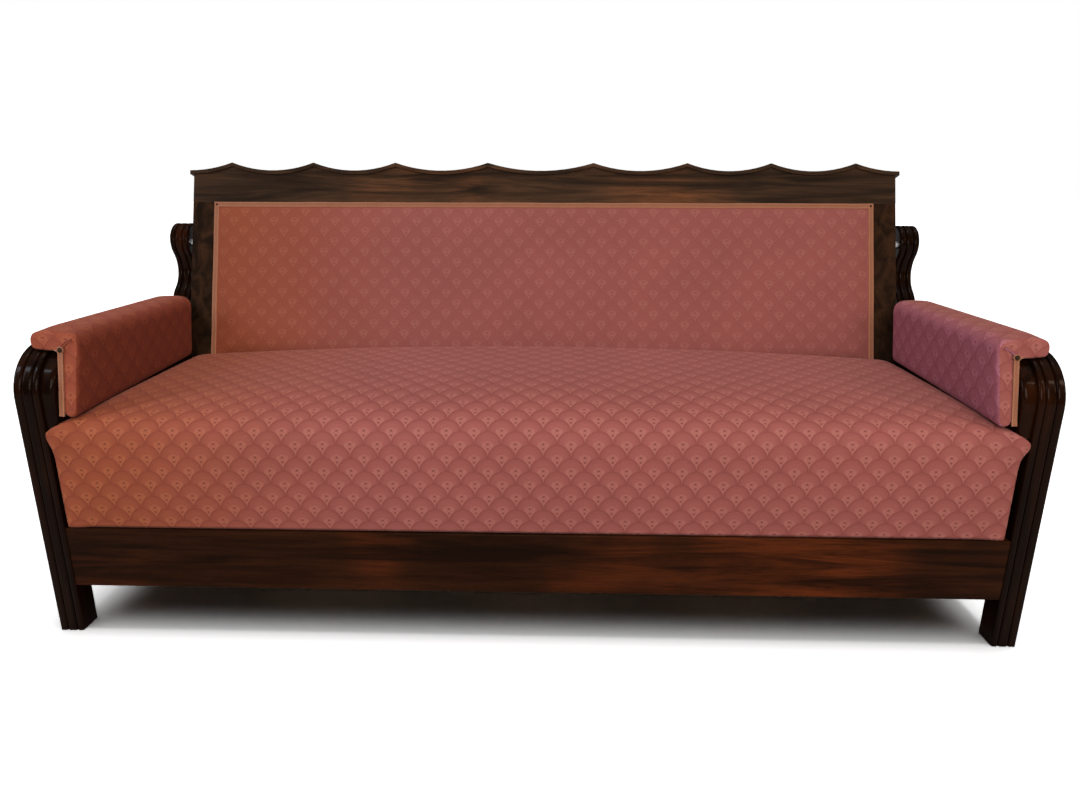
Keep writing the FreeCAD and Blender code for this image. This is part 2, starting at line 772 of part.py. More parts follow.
def seat_section(x, rise):
    # side view of the seat at x: nose, crown up to a ridge before the back, and a shelf under the back
    face_depth = leaned(-panel_front - back_pad_edge - back_pad_crown, -panel_foot)[0]
    ridge = face_depth - ridge_gap
    fuller = nose_end + nose_run
    corner = rear_round * (1 - math.sqrt(0.5))
    nose_centre = (seat_front + nose_radius, front_face_top)

    def at(depth, height):
        return Vector(x, depth, height)

    nose_low = at(seat_front, front_face_top)
    nose_middle = at(*polar(nose_centre, nose_radius, 180 - nose_turn / 2))
    nose_high = at(nose_end, nose_height)
    ridge_top = at(ridge, nose_height + rise)
    ridge_back = at(ridge + ridge_width / 2, (nose_height + rise + shelf_height) / 2 + ridge_bulge)
    shelf = at(face_depth - shelf_run, shelf_height)
    rear_high = at(seat_rear - rear_round, shelf_height)
    rear_middle = at(seat_rear - corner, shelf_height - corner)
    rear_low = at(seat_rear, shelf_height - rear_round)
    crown = Part.BSplineCurve()
    crown.interpolate([
        nose_high, at((nose_end + fuller) / 2, nose_height + rise * half_run_share),
        at(fuller, nose_height + rise * full_run_share),
        at((fuller + ridge) / 2, nose_height + rise * crown_share), ridge_top])
    return Part.Wire([
        line(at(seat_front, seat_base), nose_low), arc(nose_low, nose_middle, nose_high), crown.toShape(),
        arc(ridge_top, ridge_back, shelf), line(shelf, rear_high), arc(rear_high, rear_middle, rear_low),
        line(rear_low, at(seat_rear, seat_base)), line(at(seat_rear, seat_base), at(seat_front, seat_base)),
    ])


def seat_ear():
    # front corner of the seat that reaches past the plain part of the post
    corner = ear_round * (1 - math.sqrt(0.5))
    low = side_point(seat_front, ear_height - ear_round)
    high = side_point(seat_front + ear_round, ear_height)
    rear = seat_front + ear_depth
    ends = [high, side_point(rear, ear_height), side_point(rear, seat_base),
            side_point(seat_front, seat_base), low]
    outline = [line(a, b) for a, b in zip(ends, ends[1:])]
    outline.append(arc(low, side_point(seat_front + corner, ear_height - corner), high))
    return across_x(outline, seat_half - seat_skirt, reed_inner - ear_gap)


def spring_well():
    return block(-frame_half + frame_thickness, frame_half - frame_thickness,
                 frame_front + frame_thickness, frame_rear - frame_thickness, seat_base, spring_top)


def seat_pad():
    sections = []
    for share in (-1.0, -0.5, 0.0, 0.5, 1.0):
        rise = seat_end_rise + (seat_crown_rise - seat_end_rise) * (1 - share ** 2)
        sections.append(seat_section(share * seat_half, rise))
    body = Part.makeLoft(sections, True, True)
    frame_room = block(-frame_half, frame_half, frame_front, frame_rear, seat_base, frame_top)
    ear = seat_ear()
    whole = joined([body, ear, mirrored(ear)])
    return whole.cut(frame_room.fuse(spring_well()))


def frame_board(side):
    if side in ("front", "rear"):
        start = frame_front if side == "front" else frame_rear - frame_thickness
        return block(-frame_half, frame_half, start, start + frame_thickness, seat_base, frame_top)
    start = -frame_half if side == "left" else frame_half - frame_thickness
    return block(start, start + frame_thickness, frame_front + frame_thickness,
                 frame_rear - frame_thickness, seat_base, frame_top)


def inside_frame():
    return (-frame_half + frame_thickness, frame_half - frame_thickness,
            frame_front + frame_thickness, frame_rear - frame_thickness)


def strap_level():
    return seat_base + cloth_gap + cloth_thickness + cloth_gap


def seat_straps():
    x0, x1, y0, y1 = inside_frame()
    low = strap_level()
    straps = []
    for i in range(cross_strap_count):
        x = x0 + (x1 - x0) * (i + 0.5) / cross_strap_count
        straps.append(block(x - strap_width / 2, x + strap_width / 2, y0, y1, low, low + strap_thickness))
    for i in range(long_strap_count):
        y = y0 + (y1 - y0) * (i + 0.5) / long_strap_count
        straps.append(block(x0, x1, y - strap_width / 2, y + strap_width / 2,
                            low + strap_thickness, low + 2 * strap_thickness))
    return Part.makeCompound(straps)


def half_turn(side, level, climb):
    # half a turn of spring wire: a half ring, tilted so that it climbs, that meets the next one smoothly
    start = Vector(side * spring_radius, 0, level)
    end = Vector(-side * spring_radius, 0, level + climb)
    axis = (end - start).cross(Vector(0, side, 0))
    turns = [360 * i / spring_wire_sides for i in range(spring_wire_sides)]
    corners = [polar((start.x, start.z), spring_wire, turn) for turn in turns]
    wire = Part.Face(Part.Wire(polygon([Vector(x, 0, z) for x, z in corners])))
    return wire.revolve((start + end) / 2, -axis, 180)


def seat_springs():
    x0, x1, y0, y1 = inside_frame()
    foot = strap_level() + 2 * strap_thickness + cloth_gap + spring_wire
    rise = spring_top - cloth_gap - cloth_thickness - cloth_gap - spring_wire - foot
    climb = rise / (2 * spring_turns)
    spring = joined([half_turn((-1) ** i, i * climb, climb) for i in range(2 * spring_turns)])
    springs = []
    for column in range(spring_columns):
        for row in range(spring_rows):
            x = x0 + (x1 - x0) * (column + 0.5) / spring_columns
            y = y0 + (y1 - y0) * (row + 0.5) / spring_rows
            springs.append(spring.translated(Vector(x, y, foot)))
    return Part.makeCompound(springs)


def cloth(level):
    x0, x1, y0, y1 = inside_frame()
    return block(x0, x1, y0, y1, level, level + cloth_thickness)


# All the pieces by name

def pair(name, shape):
    return {name + "_right": shape, name + "_left": mirrored(shape)}


def base_pieces():
    dowels = Part.makeCompound(arm_dowels(0))
    seats = [front_rail_tenon(joint_gap), side_rail_tenon(joint_gap)] + arm_dowels(joint_gap)
    post = front_post().cut(Part.makeCompound(seats))
    screws = Part.makeCompound(block_screws())
    rail = front_rail().cut(screws).cut(mirrored(screws))
    nail = arm_nail()
    corner = corner_block().cut(screws)
    pieces = {}
    pieces.update(pair("front_post", post))
    pieces.update(pair("rear_post", rear_post()))
    pieces.update(pair("side_rail", side_rail()))
    pieces.update(pair("arm_rail", arm_rail()))
    pieces.update(pair("arm_board", arm_board()))
    pieces.update(pair("outside_panel", outside_panel()))
    pieces.update(pair("arm_pad", arm_pad()))
    pieces.update(pair("arm_braid", arm_braid()))
    pieces.update(pair("pivot_pin", pivot_pin()))
    pieces.update(pair("pivot_spacer", pivot_spacer()))
    pieces.update(pair("corner_block", corner))
    pieces["arm_nails"] = Part.makeCompound([nail, mirrored(nail)])
    pieces["arm_dowels"] = Part.makeCompound([dowels, mirrored(dowels)])
    pieces["corner_screws"] = Part.makeCompound([screws, mirrored(screws)])
    pieces["front_rail"] = rail
    pieces["rear_rail"] = cross_rail(rail_floor_gap, rail_top)
    pieces["stop_rail"] = cross_rail(*stop_rail_levels())
    pieces["front_cleat"] = cleat(front_rail_back)
    pieces["rear_cleat"] = cleat(stop_front - cleat_thickness)
    for i, x in enumerate(bearer_places()):
        pieces["cross_bearer_%d" % (i + 1)] = bearer(x)
    return pieces


def seat_pieces():
    pieces = {"seat_frame_" + side: frame_board(side) for side in ("front", "rear", "left", "right")}
    pieces["seat_webbing"] = seat_straps()
    pieces["seat_springs"] = seat_springs()
    pieces["seat_hessian"] = cloth(spring_top - cloth_gap - cloth_thickness)
    pieces["bottom_cloth"] = cloth(seat_base + cloth_gap)
    pieces["seat_pad"] = seat_pad()
    return pieces


def back_pieces():
    pieces = {}
    pieces.update(pair("back_stile", stile()))
    pieces.update(pair("pivot_bush", pivot_bush()))
    pieces["crest_rail"] = crest_rail()
    pieces["crest_cap"] = crest_cap()
    pieces["back_bottom_rail"] = bottom_rail()
    pieces["back_centre_stile"] = centre_stile()
    pieces["back_lining"] = lining()
    pieces["back_webbing"] = back_straps()
    pieces["back_pad"] = back_pad()
    pieces["back_braid"] = back_braid()
    return {name: hung(shape) for name, shape in pieces.items()}


def main():
    os.makedirs("parts", exist_ok=True)
    pieces = base_pieces()
    pieces.update(seat_pieces())
    pieces.update(back_pieces())
    for name, shape in sorted(pieces.items()):
        shape.translate(Vector(0, -overall_depth / 2, 0))
        if not shape.isValid():
            print("not valid:", name)
        shape.exportStep(os.path.join("parts", name + ".step"))
    whole = Part.makeCompound(list(pieces.values()))
    box = whole.BoundBox
    print("pieces", len(pieces), "depth %.2f" % overall_depth)
    print("box x %.1f %.1f y %.1f %.1f z %.1f %.1f"
          % (box.XMin, box.XMax, box.YMin, box.YMax, box.ZMin, box.ZMax))


main()
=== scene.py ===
import json
from math import copysign, cos, exp, hypot, pi, radians, sin, sqrt, tan

import bmesh
import bpy
from mathutils import Matrix, Vector, noise


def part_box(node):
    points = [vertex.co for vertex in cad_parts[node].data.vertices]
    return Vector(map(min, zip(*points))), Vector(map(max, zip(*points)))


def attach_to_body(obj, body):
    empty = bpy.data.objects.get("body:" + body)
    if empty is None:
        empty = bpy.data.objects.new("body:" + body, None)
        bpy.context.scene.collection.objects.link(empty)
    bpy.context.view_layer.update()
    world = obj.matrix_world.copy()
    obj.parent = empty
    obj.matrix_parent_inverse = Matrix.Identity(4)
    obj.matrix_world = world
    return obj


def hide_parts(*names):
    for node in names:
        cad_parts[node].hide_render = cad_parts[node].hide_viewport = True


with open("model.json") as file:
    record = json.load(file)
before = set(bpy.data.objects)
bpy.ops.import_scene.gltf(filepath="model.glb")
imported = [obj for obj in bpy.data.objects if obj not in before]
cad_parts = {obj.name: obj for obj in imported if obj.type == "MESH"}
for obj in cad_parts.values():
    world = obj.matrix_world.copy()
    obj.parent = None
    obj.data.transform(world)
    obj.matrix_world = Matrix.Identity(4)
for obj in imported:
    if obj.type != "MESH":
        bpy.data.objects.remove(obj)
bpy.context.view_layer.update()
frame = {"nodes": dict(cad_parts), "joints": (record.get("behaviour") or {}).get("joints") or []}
nodes = frame["nodes"]
scene = bpy.context.scene
print("frame loaded,", len(nodes), "nodes")

# places worked out from the frame
backJoint = frame["joints"][0]
pivot = Vector(backJoint["pos_m"])
lean = radians(backJoint["range_deg"][1])
seatLow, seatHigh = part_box("seat_pad")
padLow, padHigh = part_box("arm_pad_right")
postLow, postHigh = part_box("front_post_right")
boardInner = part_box("arm_board_right")[0].x
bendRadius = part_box("arm_rail_right")[0].y - postLow.y


def panelPoint(x, across, along):
    # from the upright panel, measured from its pivot, to the leaning one
    return Vector((x, pivot.y + across * cos(lean) + along * sin(lean),
                   pivot.z - across * sin(lean) + along * cos(lean)))


def panelReach(name):
    # lowest and highest place of a node along the leaning panel, from its pivot
    spots = [nodes[name].matrix_world @ vertex.co - pivot for vertex in nodes[name].data.vertices]
    alongs = [spot.y * sin(lean) + spot.z * cos(lean) for spot in spots]
    return min(alongs), max(alongs)


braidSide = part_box("back_braid")[1].x
braidFoot, braidTop = panelReach("back_braid")


# small helpers for node trees
def newMaterial(name):
    material = bpy.data.materials.new(name)
    material.use_nodes = True
    tree = material.node_tree
    return material, tree, tree.nodes["Principled BSDF"]


def put(tree, socket, value):
    if isinstance(value, bpy.types.NodeSocket):
        tree.links.new(value, socket)
    else:
        socket.default_value = value


def feed(tree, node, values):
    for key, value in values.items():
        put(tree, node.inputs[key], value)


def add(tree, kind, settings=None, **inputs):
    node = tree.nodes.new("ShaderNode" + kind)
    for key, value in (settings or {}).items():
        setattr(node, key, value)
    feed(tree, node, inputs)
    return node


def speckle(tree, point, scale, detail, **more):
    return add(tree, "TexNoise", Vector=point, Scale=scale, Detail=detail, **more).outputs[0]


def calc(tree, operation, a, b=0.0, c=0.0):
    node = add(tree, "Math", {"operation": operation})
    feed(tree, node, {0: a, 1: b, 2: c})
    return node.outputs[0]


def times(tree, a, b):
    return calc(tree, "MULTIPLY", a, b)


def timesPlus(tree, a, b, c):
    return calc(tree, "MULTIPLY_ADD", a, b, c)


def reachOf(tree, x, y):
    # how far a point lies from the middle
    return calc(tree, "SQRT", timesPlus(tree, x, x, times(tree, y, y)))


def blendNumber(tree, share, a, b):
    node = add(tree, "Mix")
    feed(tree, node, {0: share, 2: a, 3: b})
    return node.outputs[0]


def blendColor(tree, share, a, b, mode="MIX"):
    node = add(tree, "Mix", {"data_type": "RGBA", "blend_type": mode})
    feed(tree, node, {0: share, 6: a, 7: b})
    return node.outputs[2]


def laid(tree, share, strength, under, over):
    # one colour over another where share is high
    return blendColor(tree, times(tree, share, strength), under, over)


def smooth(tree, value, low, high):
    node = add(tree, "MapRange", {"interpolation_type": "SMOOTHSTEP"}, Value=value)
    feed(tree, node, {"From Min": low, "From Max": high})
    return node.outputs[0]


def fade(tree, value, low, high):
    return calc(tree, "SUBTRACT", 1.0, smooth(tree, value, low, high))


def relief(tree, shader, height, depth, strength):
    bump = add(tree, "Bump", Height=height, Distance=depth, Strength=strength)
    put(tree, shader.inputs["Normal"], bump.outputs[0])


def rgb(red, green, blue):
    # from the 0 to 255 values of a picture to light
    def toLight(value):
        value = value / 255
        return value / 12.92 if value <= 0.04045 else ((value + 0.055) / 1.055) ** 2.4
    return (toLight(red), toLight(green), toLight(blue), 1.0)


# woven cover with a pattern of overlapping fans
fabricLook = {
    "fanRadius": 0.027,           # half the width of a fan, metres of cloth
    "ground": rgb(149, 82, 75),
    "outline": rgb(126, 60, 55),
    "shell": rgb(171, 105, 94),
    "dot": rgb(102, 44, 41),
    "outlineEdge": (0.80, 0.98),  # from here down to leafRound in fan radii
    "bandEdge": (0.45, 0.95),
    "stemFlare": (0.26, 0.85),    # heights above the tip where the stem widens to a leaf
    "stemHalf": 0.05,
    "leafGain": 0.43,
    "leafSides": (-0.10, 0.04),
    "leafTop": 0.78,
    "leafRound": (0.52, 0.50),
    "leafFade": (0.80, 1.08),
    "ribs": 21.0,
    "ribTone": (0.2, 0.8),
    "dots": ((0.67, 0.075), (1.03, 0.085)),  # height above the tip and size, in fan radii
    "dotSoft": (0.4, 1.6),
    "bandShare": 0.45,
    "outlineShare": 0.65,
    "shellShare": 0.55,
    "dotShare": 0.80,
    "threadsPerMetre": 1500,
    "cloudsPerMetre": 5.0,
    "flecksPerMetre": 260.0,
    "threadTone": (0.30, 0.85),   # how much the tone varies, and the least tone
    "cloudTone": (0.24, 0.88),
    "fleckTone": (0.28, 0.86),
    "paintedLightEdge": (0.13, 0.19),     # where a cover's painted light on its lower part gives way to that on its upper part
    # painted warm light, multiplied over the cloth's left end
    "aged": (0.93, 0.74, 0.32, 1.0),
    "warmLightEdge": (0.25, 0.90),     # metres of cloth to the left
    "warmLightShare": 0.95,
    "roughness": 0.78,
    "shellGloss": -0.10,
    "specular": 0.25,
    "sheen": 0.15,
    "sheenRoughness": 0.45,
    "sheenTint": rgb(225, 170, 160),
    "emboss": (-0.8, 0.35, 0.4, 0.25),       # outline, shell, dots, threads
    "embossRelief": (0.0012, 0.5),           # depth and strength
}

# how strong the pattern is on each cover, and painted light on the arm and back covers: tints multiplied
# over the cloth's lower part (an arm's inner face) and its upper part
coverLooks = {
    "seatFabric": {"outline": 0.8, "shell": 1.0, "dots": 1.0, "relief": 0.85},
    # painted warm shade: the left arm darker and oranger, most of all on its inner face
    "armFabricLeft": {"outline": 0.6, "shell": 0.9, "dots": 0.9, "relief": 1.1,
                      "lower": (0.66, 0.42, 0.20, 1.0), "upper": (0.92, 0.69, 0.36, 1.0)},
    # painted cool light: the right arm's inner face bluer and paler
    "armFabricRight": {"outline": 0.6, "shell": 0.9, "dots": 0.9, "relief": 1.1,
                       "lower": (1.25, 1.38, 2.2, 1.0), "upper": (1.0, 0.98, 0.98, 1.0)},
    # painted shade: the back a little darker all over
    "backFabric": {"outline": 0.12, "shell": 0.7, "dots": 0.55, "relief": 0.5,
                   "lower": (0.90, 0.88, 0.88, 1.0), "upper": (0.90, 0.88, 0.88, 1.0)},
}


def fanPattern(tree, across, along):
    # outline, inner band, leaf and dots of the fan that a point of the cloth lies in
    look = fabricLook
    row = calc(tree, "FLOOR", along)
    shifted = calc(tree, "SUBTRACT", across, calc(tree, "FLOORED_MODULO", row, 2.0))
    lowX = calc(tree, "WRAP", shifted, 1.0, -1.0)
    lowY = calc(tree, "SUBTRACT", along, row)
    # the row below lies over the row above
    inLow = calc(tree, "LESS_THAN", reachOf(tree, lowX, lowY), 1.0)
    highX = calc(tree, "WRAP", calc(tree, "ADD", shifted, 1.0), 1.0, -1.0)
    highY = calc(tree, "SUBTRACT", lowY, 1.0)
    x = blendNumber(tree, inLow, highX, lowX)
    y = blendNumber(tree, inLow, highY, lowY)
    reach = reachOf(tree, x, y)
    outline = smooth(tree, reach, *look["outlineEdge"])
    band = smooth(tree, reach, *look["bandEdge"])
    # pale leaf on a thin stem that rises from the fan's tip, with ribs that spread
    fromTip = calc(tree, "ADD", y, 1.0)
    flare = smooth(tree, fromTip, *look["stemFlare"])
    half = timesPlus(tree, flare, look["leafGain"], look["stemHalf"])
    beside = calc(tree, "SUBTRACT", calc(tree, "ABSOLUTE", x), half)
    inSides = fade(tree, beside, *look["leafSides"])
    above = calc(tree, "MAXIMUM", calc(tree, "SUBTRACT", fromTip, look["leafTop"]), 0.0)
    leafX = calc(tree, "DIVIDE", x, look["leafRound"][0])
    leafY = calc(tree, "DIVIDE", above, look["leafRound"][1])
    inTop = fade(tree, reachOf(tree, leafX, leafY), *look["leafFade"])
    tipAngle = calc(tree, "ARCTAN2", x, fromTip)
    rib = calc(tree, "COSINE", times(tree, tipAngle, look["ribs"]))
    ribTone = timesPlus(tree, rib, *look["ribTone"])
    shell = times(tree, times(tree, inSides, inTop), ribTone)
    dots = 0.0
    for height, size in look["dots"]:
        spot = reachOf(tree, x, calc(tree, "SUBTRACT", fromTip, height))
        soft = [size * share for share in look["dotSoft"]]
        dots = calc(tree, "MAXIMUM", dots, fade(tree, spot, *soft))
    return outline, band, shell, dots


def fanCloth(name):
    look = fabricLook
    own = coverLooks[name]
    material, tree, shader = newMaterial(name)
    uv = add(tree, "UVMap", {"uv_map": "cloth"})
    parts = add(tree, "SeparateXYZ", Vector=uv.outputs[0])
    clothX, clothY = parts.outputs[0], parts.outputs[1]
    across = calc(tree, "DIVIDE", clothX, look["fanRadius"])
    along = calc(tree, "DIVIDE", clothY, look["fanRadius"])
    outline, band, shell, dots = fanPattern(tree, across, along)
    color = laid(tree, band, look["bandShare"] * own["outline"], look["ground"], look["outline"])
    color = laid(tree, outline, look["outlineShare"] * own["outline"], color, look["outline"])
    color = laid(tree, shell, look["shellShare"] * own["shell"], color, look["shell"])
    color = laid(tree, dots, look["dotShare"] * own["dots"], color, look["dot"])
    # threads and unevenness of the dye
    point = add(tree, "CombineXYZ", X=clothX, Y=clothY).outputs[0]
    thread = speckle(tree, point, look["threadsPerMetre"], 2.0)
    cloud = speckle(tree, point, look["cloudsPerMetre"], 4.0)
    fleck = speckle(tree, point, look["flecksPerMetre"], 3.0)
    tone = timesPlus(tree, thread, *look["threadTone"])
    tone = times(tree, tone, timesPlus(tree, cloud, *look["cloudTone"]))
    tone = times(tree, tone, timesPlus(tree, fleck, *look["fleckTone"]))
    toned = add(tree, "CombineColor", Red=tone, Green=tone, Blue=tone)
    color = blendColor(tree, 1.0, color, toned.outputs[0], "MULTIPLY")
    # painted light: the cover's colour is multiplied by a lower and an upper tint
    if "lower" in own:
        upper = smooth(tree, clothY, *look["paintedLightEdge"])
        tint = blendColor(tree, upper, own["lower"], own["upper"])
        color = blendColor(tree, 1.0, color, tint, "MULTIPLY")
    # painted warm light: oranger and darker towards the left end of the cloth
    toLeft = smooth(tree, times(tree, clothX, -1.0), *look["warmLightEdge"])
    aged = times(tree, toLeft, look["warmLightShare"])
    color = blendColor(tree, aged, color, look["aged"], "MULTIPLY")
    rough = timesPlus(tree, shell, look["shellGloss"], look["roughness"])
    feed(tree, shader, {"Base Color": color, "Roughness": rough, "Specular IOR Level": look["specular"],
                        "Sheen Weight": look["sheen"], "Sheen Roughness": look["sheenRoughness"],
                        "Sheen Tint": look["sheenTint"]})
    # embossed: each fan swells from under its neighbour's edge
    onOutline, onShell, onDots, onThread = look["emboss"]
    height = timesPlus(tree, outline, onOutline, times(tree, shell, onShell))
    height = calc(tree, "SUBTRACT", height, times(tree, dots, onDots))
    height = timesPlus(tree, thread, onThread, height)
    depth, strength = look["embossRelief"]
    relief(tree, shader, height, depth, strength * own["relief"])
    return material


# dark polished wood and plain frame wood
woodLook = {
    "deep": rgb(21, 10, 5),
    "brown": rgb(51, 26, 13),
    "red": rgb(97, 44, 19),
    "rawDark": rgb(150, 112, 72),
    "rawPale": rgb(196, 160, 112),
    "grainStretch": 14.0,       # how much longer than wide the figure is
    "figureScale": 2.2,
    "figureEdge": (0.32, 0.72),
    "poreScale": 26.0,
    "poreEdge": (0.42, 0.70),
    "poreShare": 0.35,
    "rawPoreShare": 0.30,
    "patchScale": 2.3,
    "patchEdge": (0.50, 0.74),
    "roughness": (0.22, 0.22),  # how much it varies, and the least
    "rawRoughness": (0.20, 0.55),
    "specular": 0.02,
    "specularTint": rgb(255, 205, 165),
    "coatRoughness": 0.10,
    "poreRelief": (0.0004, 0.25),
}
grainTurn = {"up": (0, pi / 2, 0), "along": (0, 0, 0), "deep": (0, 0, pi / 2)}


def wood(name, run, polished=True, tilt=0.0, redShare=0.5, paintedLightTone=(1.0, 1.0, 1.0), coat=0.02):
    look = woodLook
    material, tree, shader = newMaterial(name)
    place = add(tree, "TexCoord").outputs["Object"]
    if tilt:
        place = add(tree, "Mapping", Vector=place, Rotation=(tilt, 0, 0)).outputs[0]
    turned = add(tree, "Mapping", Vector=place, Rotation=grainTurn[run]).outputs[0]
    stretch = (1.0, look["grainStretch"], look["grainStretch"])
    grain = add(tree, "Mapping", Vector=turned, Scale=stretch).outputs[0]
    figure = speckle(tree, grain, look["figureScale"], 8.0, Roughness=0.62, Distortion=0.8)
    pores = speckle(tree, grain, look["poreScale"], 5.0, Roughness=0.7)
    fine = smooth(tree, figure, *look["figureEdge"])
    pore = smooth(tree, pores, *look["poreEdge"])
    if polished:
        patch = speckle(tree, turned, look["patchScale"], 3.0)
        warm = times(tree, smooth(tree, patch, *look["patchEdge"]), fine)
        color = blendColor(tree, fine, look["deep"], look["brown"])
        color = laid(tree, warm, redShare, color, look["red"])
        color = laid(tree, pore, look["poreShare"], color, look["deep"])
        # painted light: the finish's colour is multiplied by a tone of its own, darker on the posts
        # (painted shade) and paler and greyer on the crest and stiles (painted reflection)
        color = blendColor(tree, 1.0, color, (*paintedLightTone, 1.0), "MULTIPLY")
        feed(tree, shader, {"Coat Weight": coat, "Coat Roughness": look["coatRoughness"],
                            "Specular IOR Level": look["specular"], "Specular Tint": look["specularTint"]})
        rough = timesPlus(tree, pores, *look["roughness"])
    else:
        color = blendColor(tree, fine, look["rawDark"], look["rawPale"])
        color = laid(tree, pore, look["rawPoreShare"], color, look["rawDark"])
        rough = timesPlus(tree, pores, *look["rawRoughness"])
    feed(tree, shader, {"Base Color": color, "Roughness": rough})
    relief(tree, shader, pores, *look["poreRelief"])
    return material


# pins, screws, springs and nails
metalLook = {
    "brushStretch": 12.0,
    "dullScale": 60.0,
    "dullShade": 0.55,  # tone of the dull spots
    "scratchRoughness": 0.25,
    "scratchRelief": (0.0002, 0.2),
}


def metal(name, color, roughness, scratch):
    look = metalLook
    material, tree, shader = newMaterial(name)
    place = add(tree, "TexCoord").outputs["Object"]
    brushed = add(tree, "Mapping", Vector=place, Scale=(look["brushStretch"], 1.0, 1.0)).outputs[0]
    marks = speckle(tree, brushed, scratch, 4.0)
    dull = speckle(tree, place, look["dullScale"], 3.0)
    dark = tuple(channel * look["dullShade"] for channel in color[:3]) + (1.0,)
    rough = timesPlus(tree, marks, look["scratchRoughness"], roughness)
    color = blendColor(tree, dull, color, dark)
    feed(tree, shader, {"Base Color": color, "Roughness": rough, "Metallic": 1.0})
    relief(tree, shader, marks, *look["scratchRelief"])
    return material


# plain woven jute, hessian or black cloth
strapLook = {"waver": 1.5, "roughness": 0.9, "weaveRelief": (0.0006, 0.5)}


def strapCloth(name, dark, pale, pitch):
    look = strapLook
    material, tree, shader = newMaterial(name)
    place = add(tree, "TexCoord").outputs["Object"]
    weft, warp = [add(tree, "TexWave", {"bands_direction": way}, Vector=place, Scale=pitch,
                      Distortion=look["waver"]).outputs["Fac"] for way in ("X", "Y")]
    weave = times(tree, weft, warp)
    feed(tree, shader, {"Base Color": blendColor(tree, weave, dark, pale), "Roughness": look["roughness"]})
    relief(tree, shader, weave, *look["weaveRelief"])
    return material


# tan trim: two cords with a plaited middle
trimLook = {
    "pale": rgb(176, 112, 74),
    "dark": rgb(118, 66, 42),
    "plaitPitch": 0.0045,
    "plaitSlant": 2.6,
    "cordEdge": (0.55, 0.75),  # shares of the half width
    "threadShare": 0.55,
    "cordShare": 0.35,
    "soilScale": 30.0,
    "soilTone": (0.7, 0.65),
    "roughness": 0.72,
    "sheen": 0.2,
    "plaitRelief": (0.0008, 0.5),
}


def trimCloth(name):
    look = trimLook
    material, tree, shader = newMaterial(name)
    uv = add(tree, "UVMap", {"uv_map": "cloth"})
    parts = add(tree, "SeparateXYZ", Vector=uv.outputs[0])
    run = times(tree, parts.outputs[0], 2 * pi / look["plaitPitch"])
    slant = times(tree, parts.outputs[1], look["plaitSlant"])
    plait = calc(tree, "SINE", calc(tree, "ADD", run, slant))
    counter = calc(tree, "SINE", calc(tree, "SUBTRACT", run, slant))
    threads = timesPlus(tree, calc(tree, "MAXIMUM", plait, counter), 0.5, 0.5)
    cord = smooth(tree, calc(tree, "ABSOLUTE", parts.outputs[1]), *look["cordEdge"])
    place = add(tree, "TexCoord").outputs["Object"]
    soil = speckle(tree, place, look["soilScale"], 4.0)
    onCord = times(tree, cord, look["cordShare"])
    share = timesPlus(tree, threads, look["threadShare"], onCord)
    share = times(tree, share, timesPlus(tree, soil, *look["soilTone"]))
    color = blendColor(tree, share, look["dark"], look["pale"])
    feed(tree, shader, {"Base Color": color, "Roughness": look["roughness"], "Sheen Weight": look["sheen"]})
    relief(tree, shader, threads, *look["plaitRelief"])
    return material


seatFabric = fanCloth("seatFabric")
armFabrics = {-1: fanCloth("armFabricLeft"), 1: fanCloth("armFabricRight")}
backFabric = fanCloth("backFabric")
trim = trimCloth("tanTrim")
# painted light in each finish's tone: posts darker (painted shade), rails a little paler, stiles and crest
# paler and greyer (painted reflection)
darkUp = wood("darkWoodUp", "up", paintedLightTone=(0.5, 0.45, 0.4), coat=0.07)
darkAlong = wood("darkWoodAlong", "along", redShare=0.9, paintedLightTone=(1.15, 1.12, 1.1))
darkDeep = wood("darkWoodDeep", "deep")
darkStile = wood("darkWoodStile", "up", tilt=-lean, redShare=0.3, paintedLightTone=(1.4, 2.0, 2.5))
darkCrest = wood("darkWoodCrest", "along", tilt=-lean, redShare=0.6, paintedLightTone=(2.75, 4.4, 6.0))
rawAlong = wood("rawWoodAlong", "along", polished=False)
rawDeep = wood("rawWoodDeep", "deep", polished=False)
rawUp = wood("rawWoodUp", "up", polished=False)
steel = metal("brightSteel", rgb(205, 205, 205), 0.22, 300.0)
oldBrass = metal("oldBrass", rgb(120, 92, 48), 0.35, 200.0)
darkNail = metal("darkNail", rgb(58, 44, 32), 0.30, 200.0)
jute = strapCloth("jute", rgb(120, 92, 58), rgb(176, 144, 98), 90.0)
blackCloth = strapCloth("blackCloth", rgb(20, 20, 20), rgb(44, 44, 44), 140.0)
print("materials made")


# finishes of the rigid nodes
def both(*names):
    return [name + side for name in names for side in ("_left", "_right")]


finishes = {
    darkUp: both("front_post", "rear_post"),
    # seat_frame_front gets the dark polished wood so that the line it shows under the seat's hem is dark:
    # painted shade
    darkAlong: ["front_rail", "rear_rail", "stop_rail", "front_cleat", "seat_frame_front"],
    # the arm boards are in it so that the line they show under the arm covers is dark: painted shade
    darkDeep: both("side_rail", "arm_rail", "outside_panel", "arm_board"),
    darkStile: both("back_stile"),
    darkCrest: ["crest_rail", "crest_cap", "back_bottom_rail", "back_lining"],
    rawAlong: ["rear_cleat", "seat_frame_rear"],
    rawDeep: both("seat_frame") + ["cross_bearer_1", "cross_bearer_2", "cross_bearer_3", "arm_dowels"],
    rawUp: both("corner_block") + ["back_centre_stile"],
    steel: both("pivot_pin", "pivot_spacer") + ["corner_screws", "seat_springs"],
    oldBrass: both("pivot_bush") + ["arm_nails"],
    jute: ["seat_webbing", "back_webbing", "seat_hessian"],
    blackCloth: ["bottom_cloth"],
}
for material, names in finishes.items():
    for name in names:
        nodes[name].data.materials.clear()
        nodes[name].data.materials.append(material)
print("finishes set")


# camera at the photograph's viewing angle
cameraView = {
    "place": (0.056, -1.74679, 0.921),
    "yaw": 1.55,           # degrees
    "pitch": 16.69,
    "roll": -0.12,
    "focalPixels": 753.8,
    "pictureWidth": 1080,  # pixels
    "sensorWidth": 36.0,
}


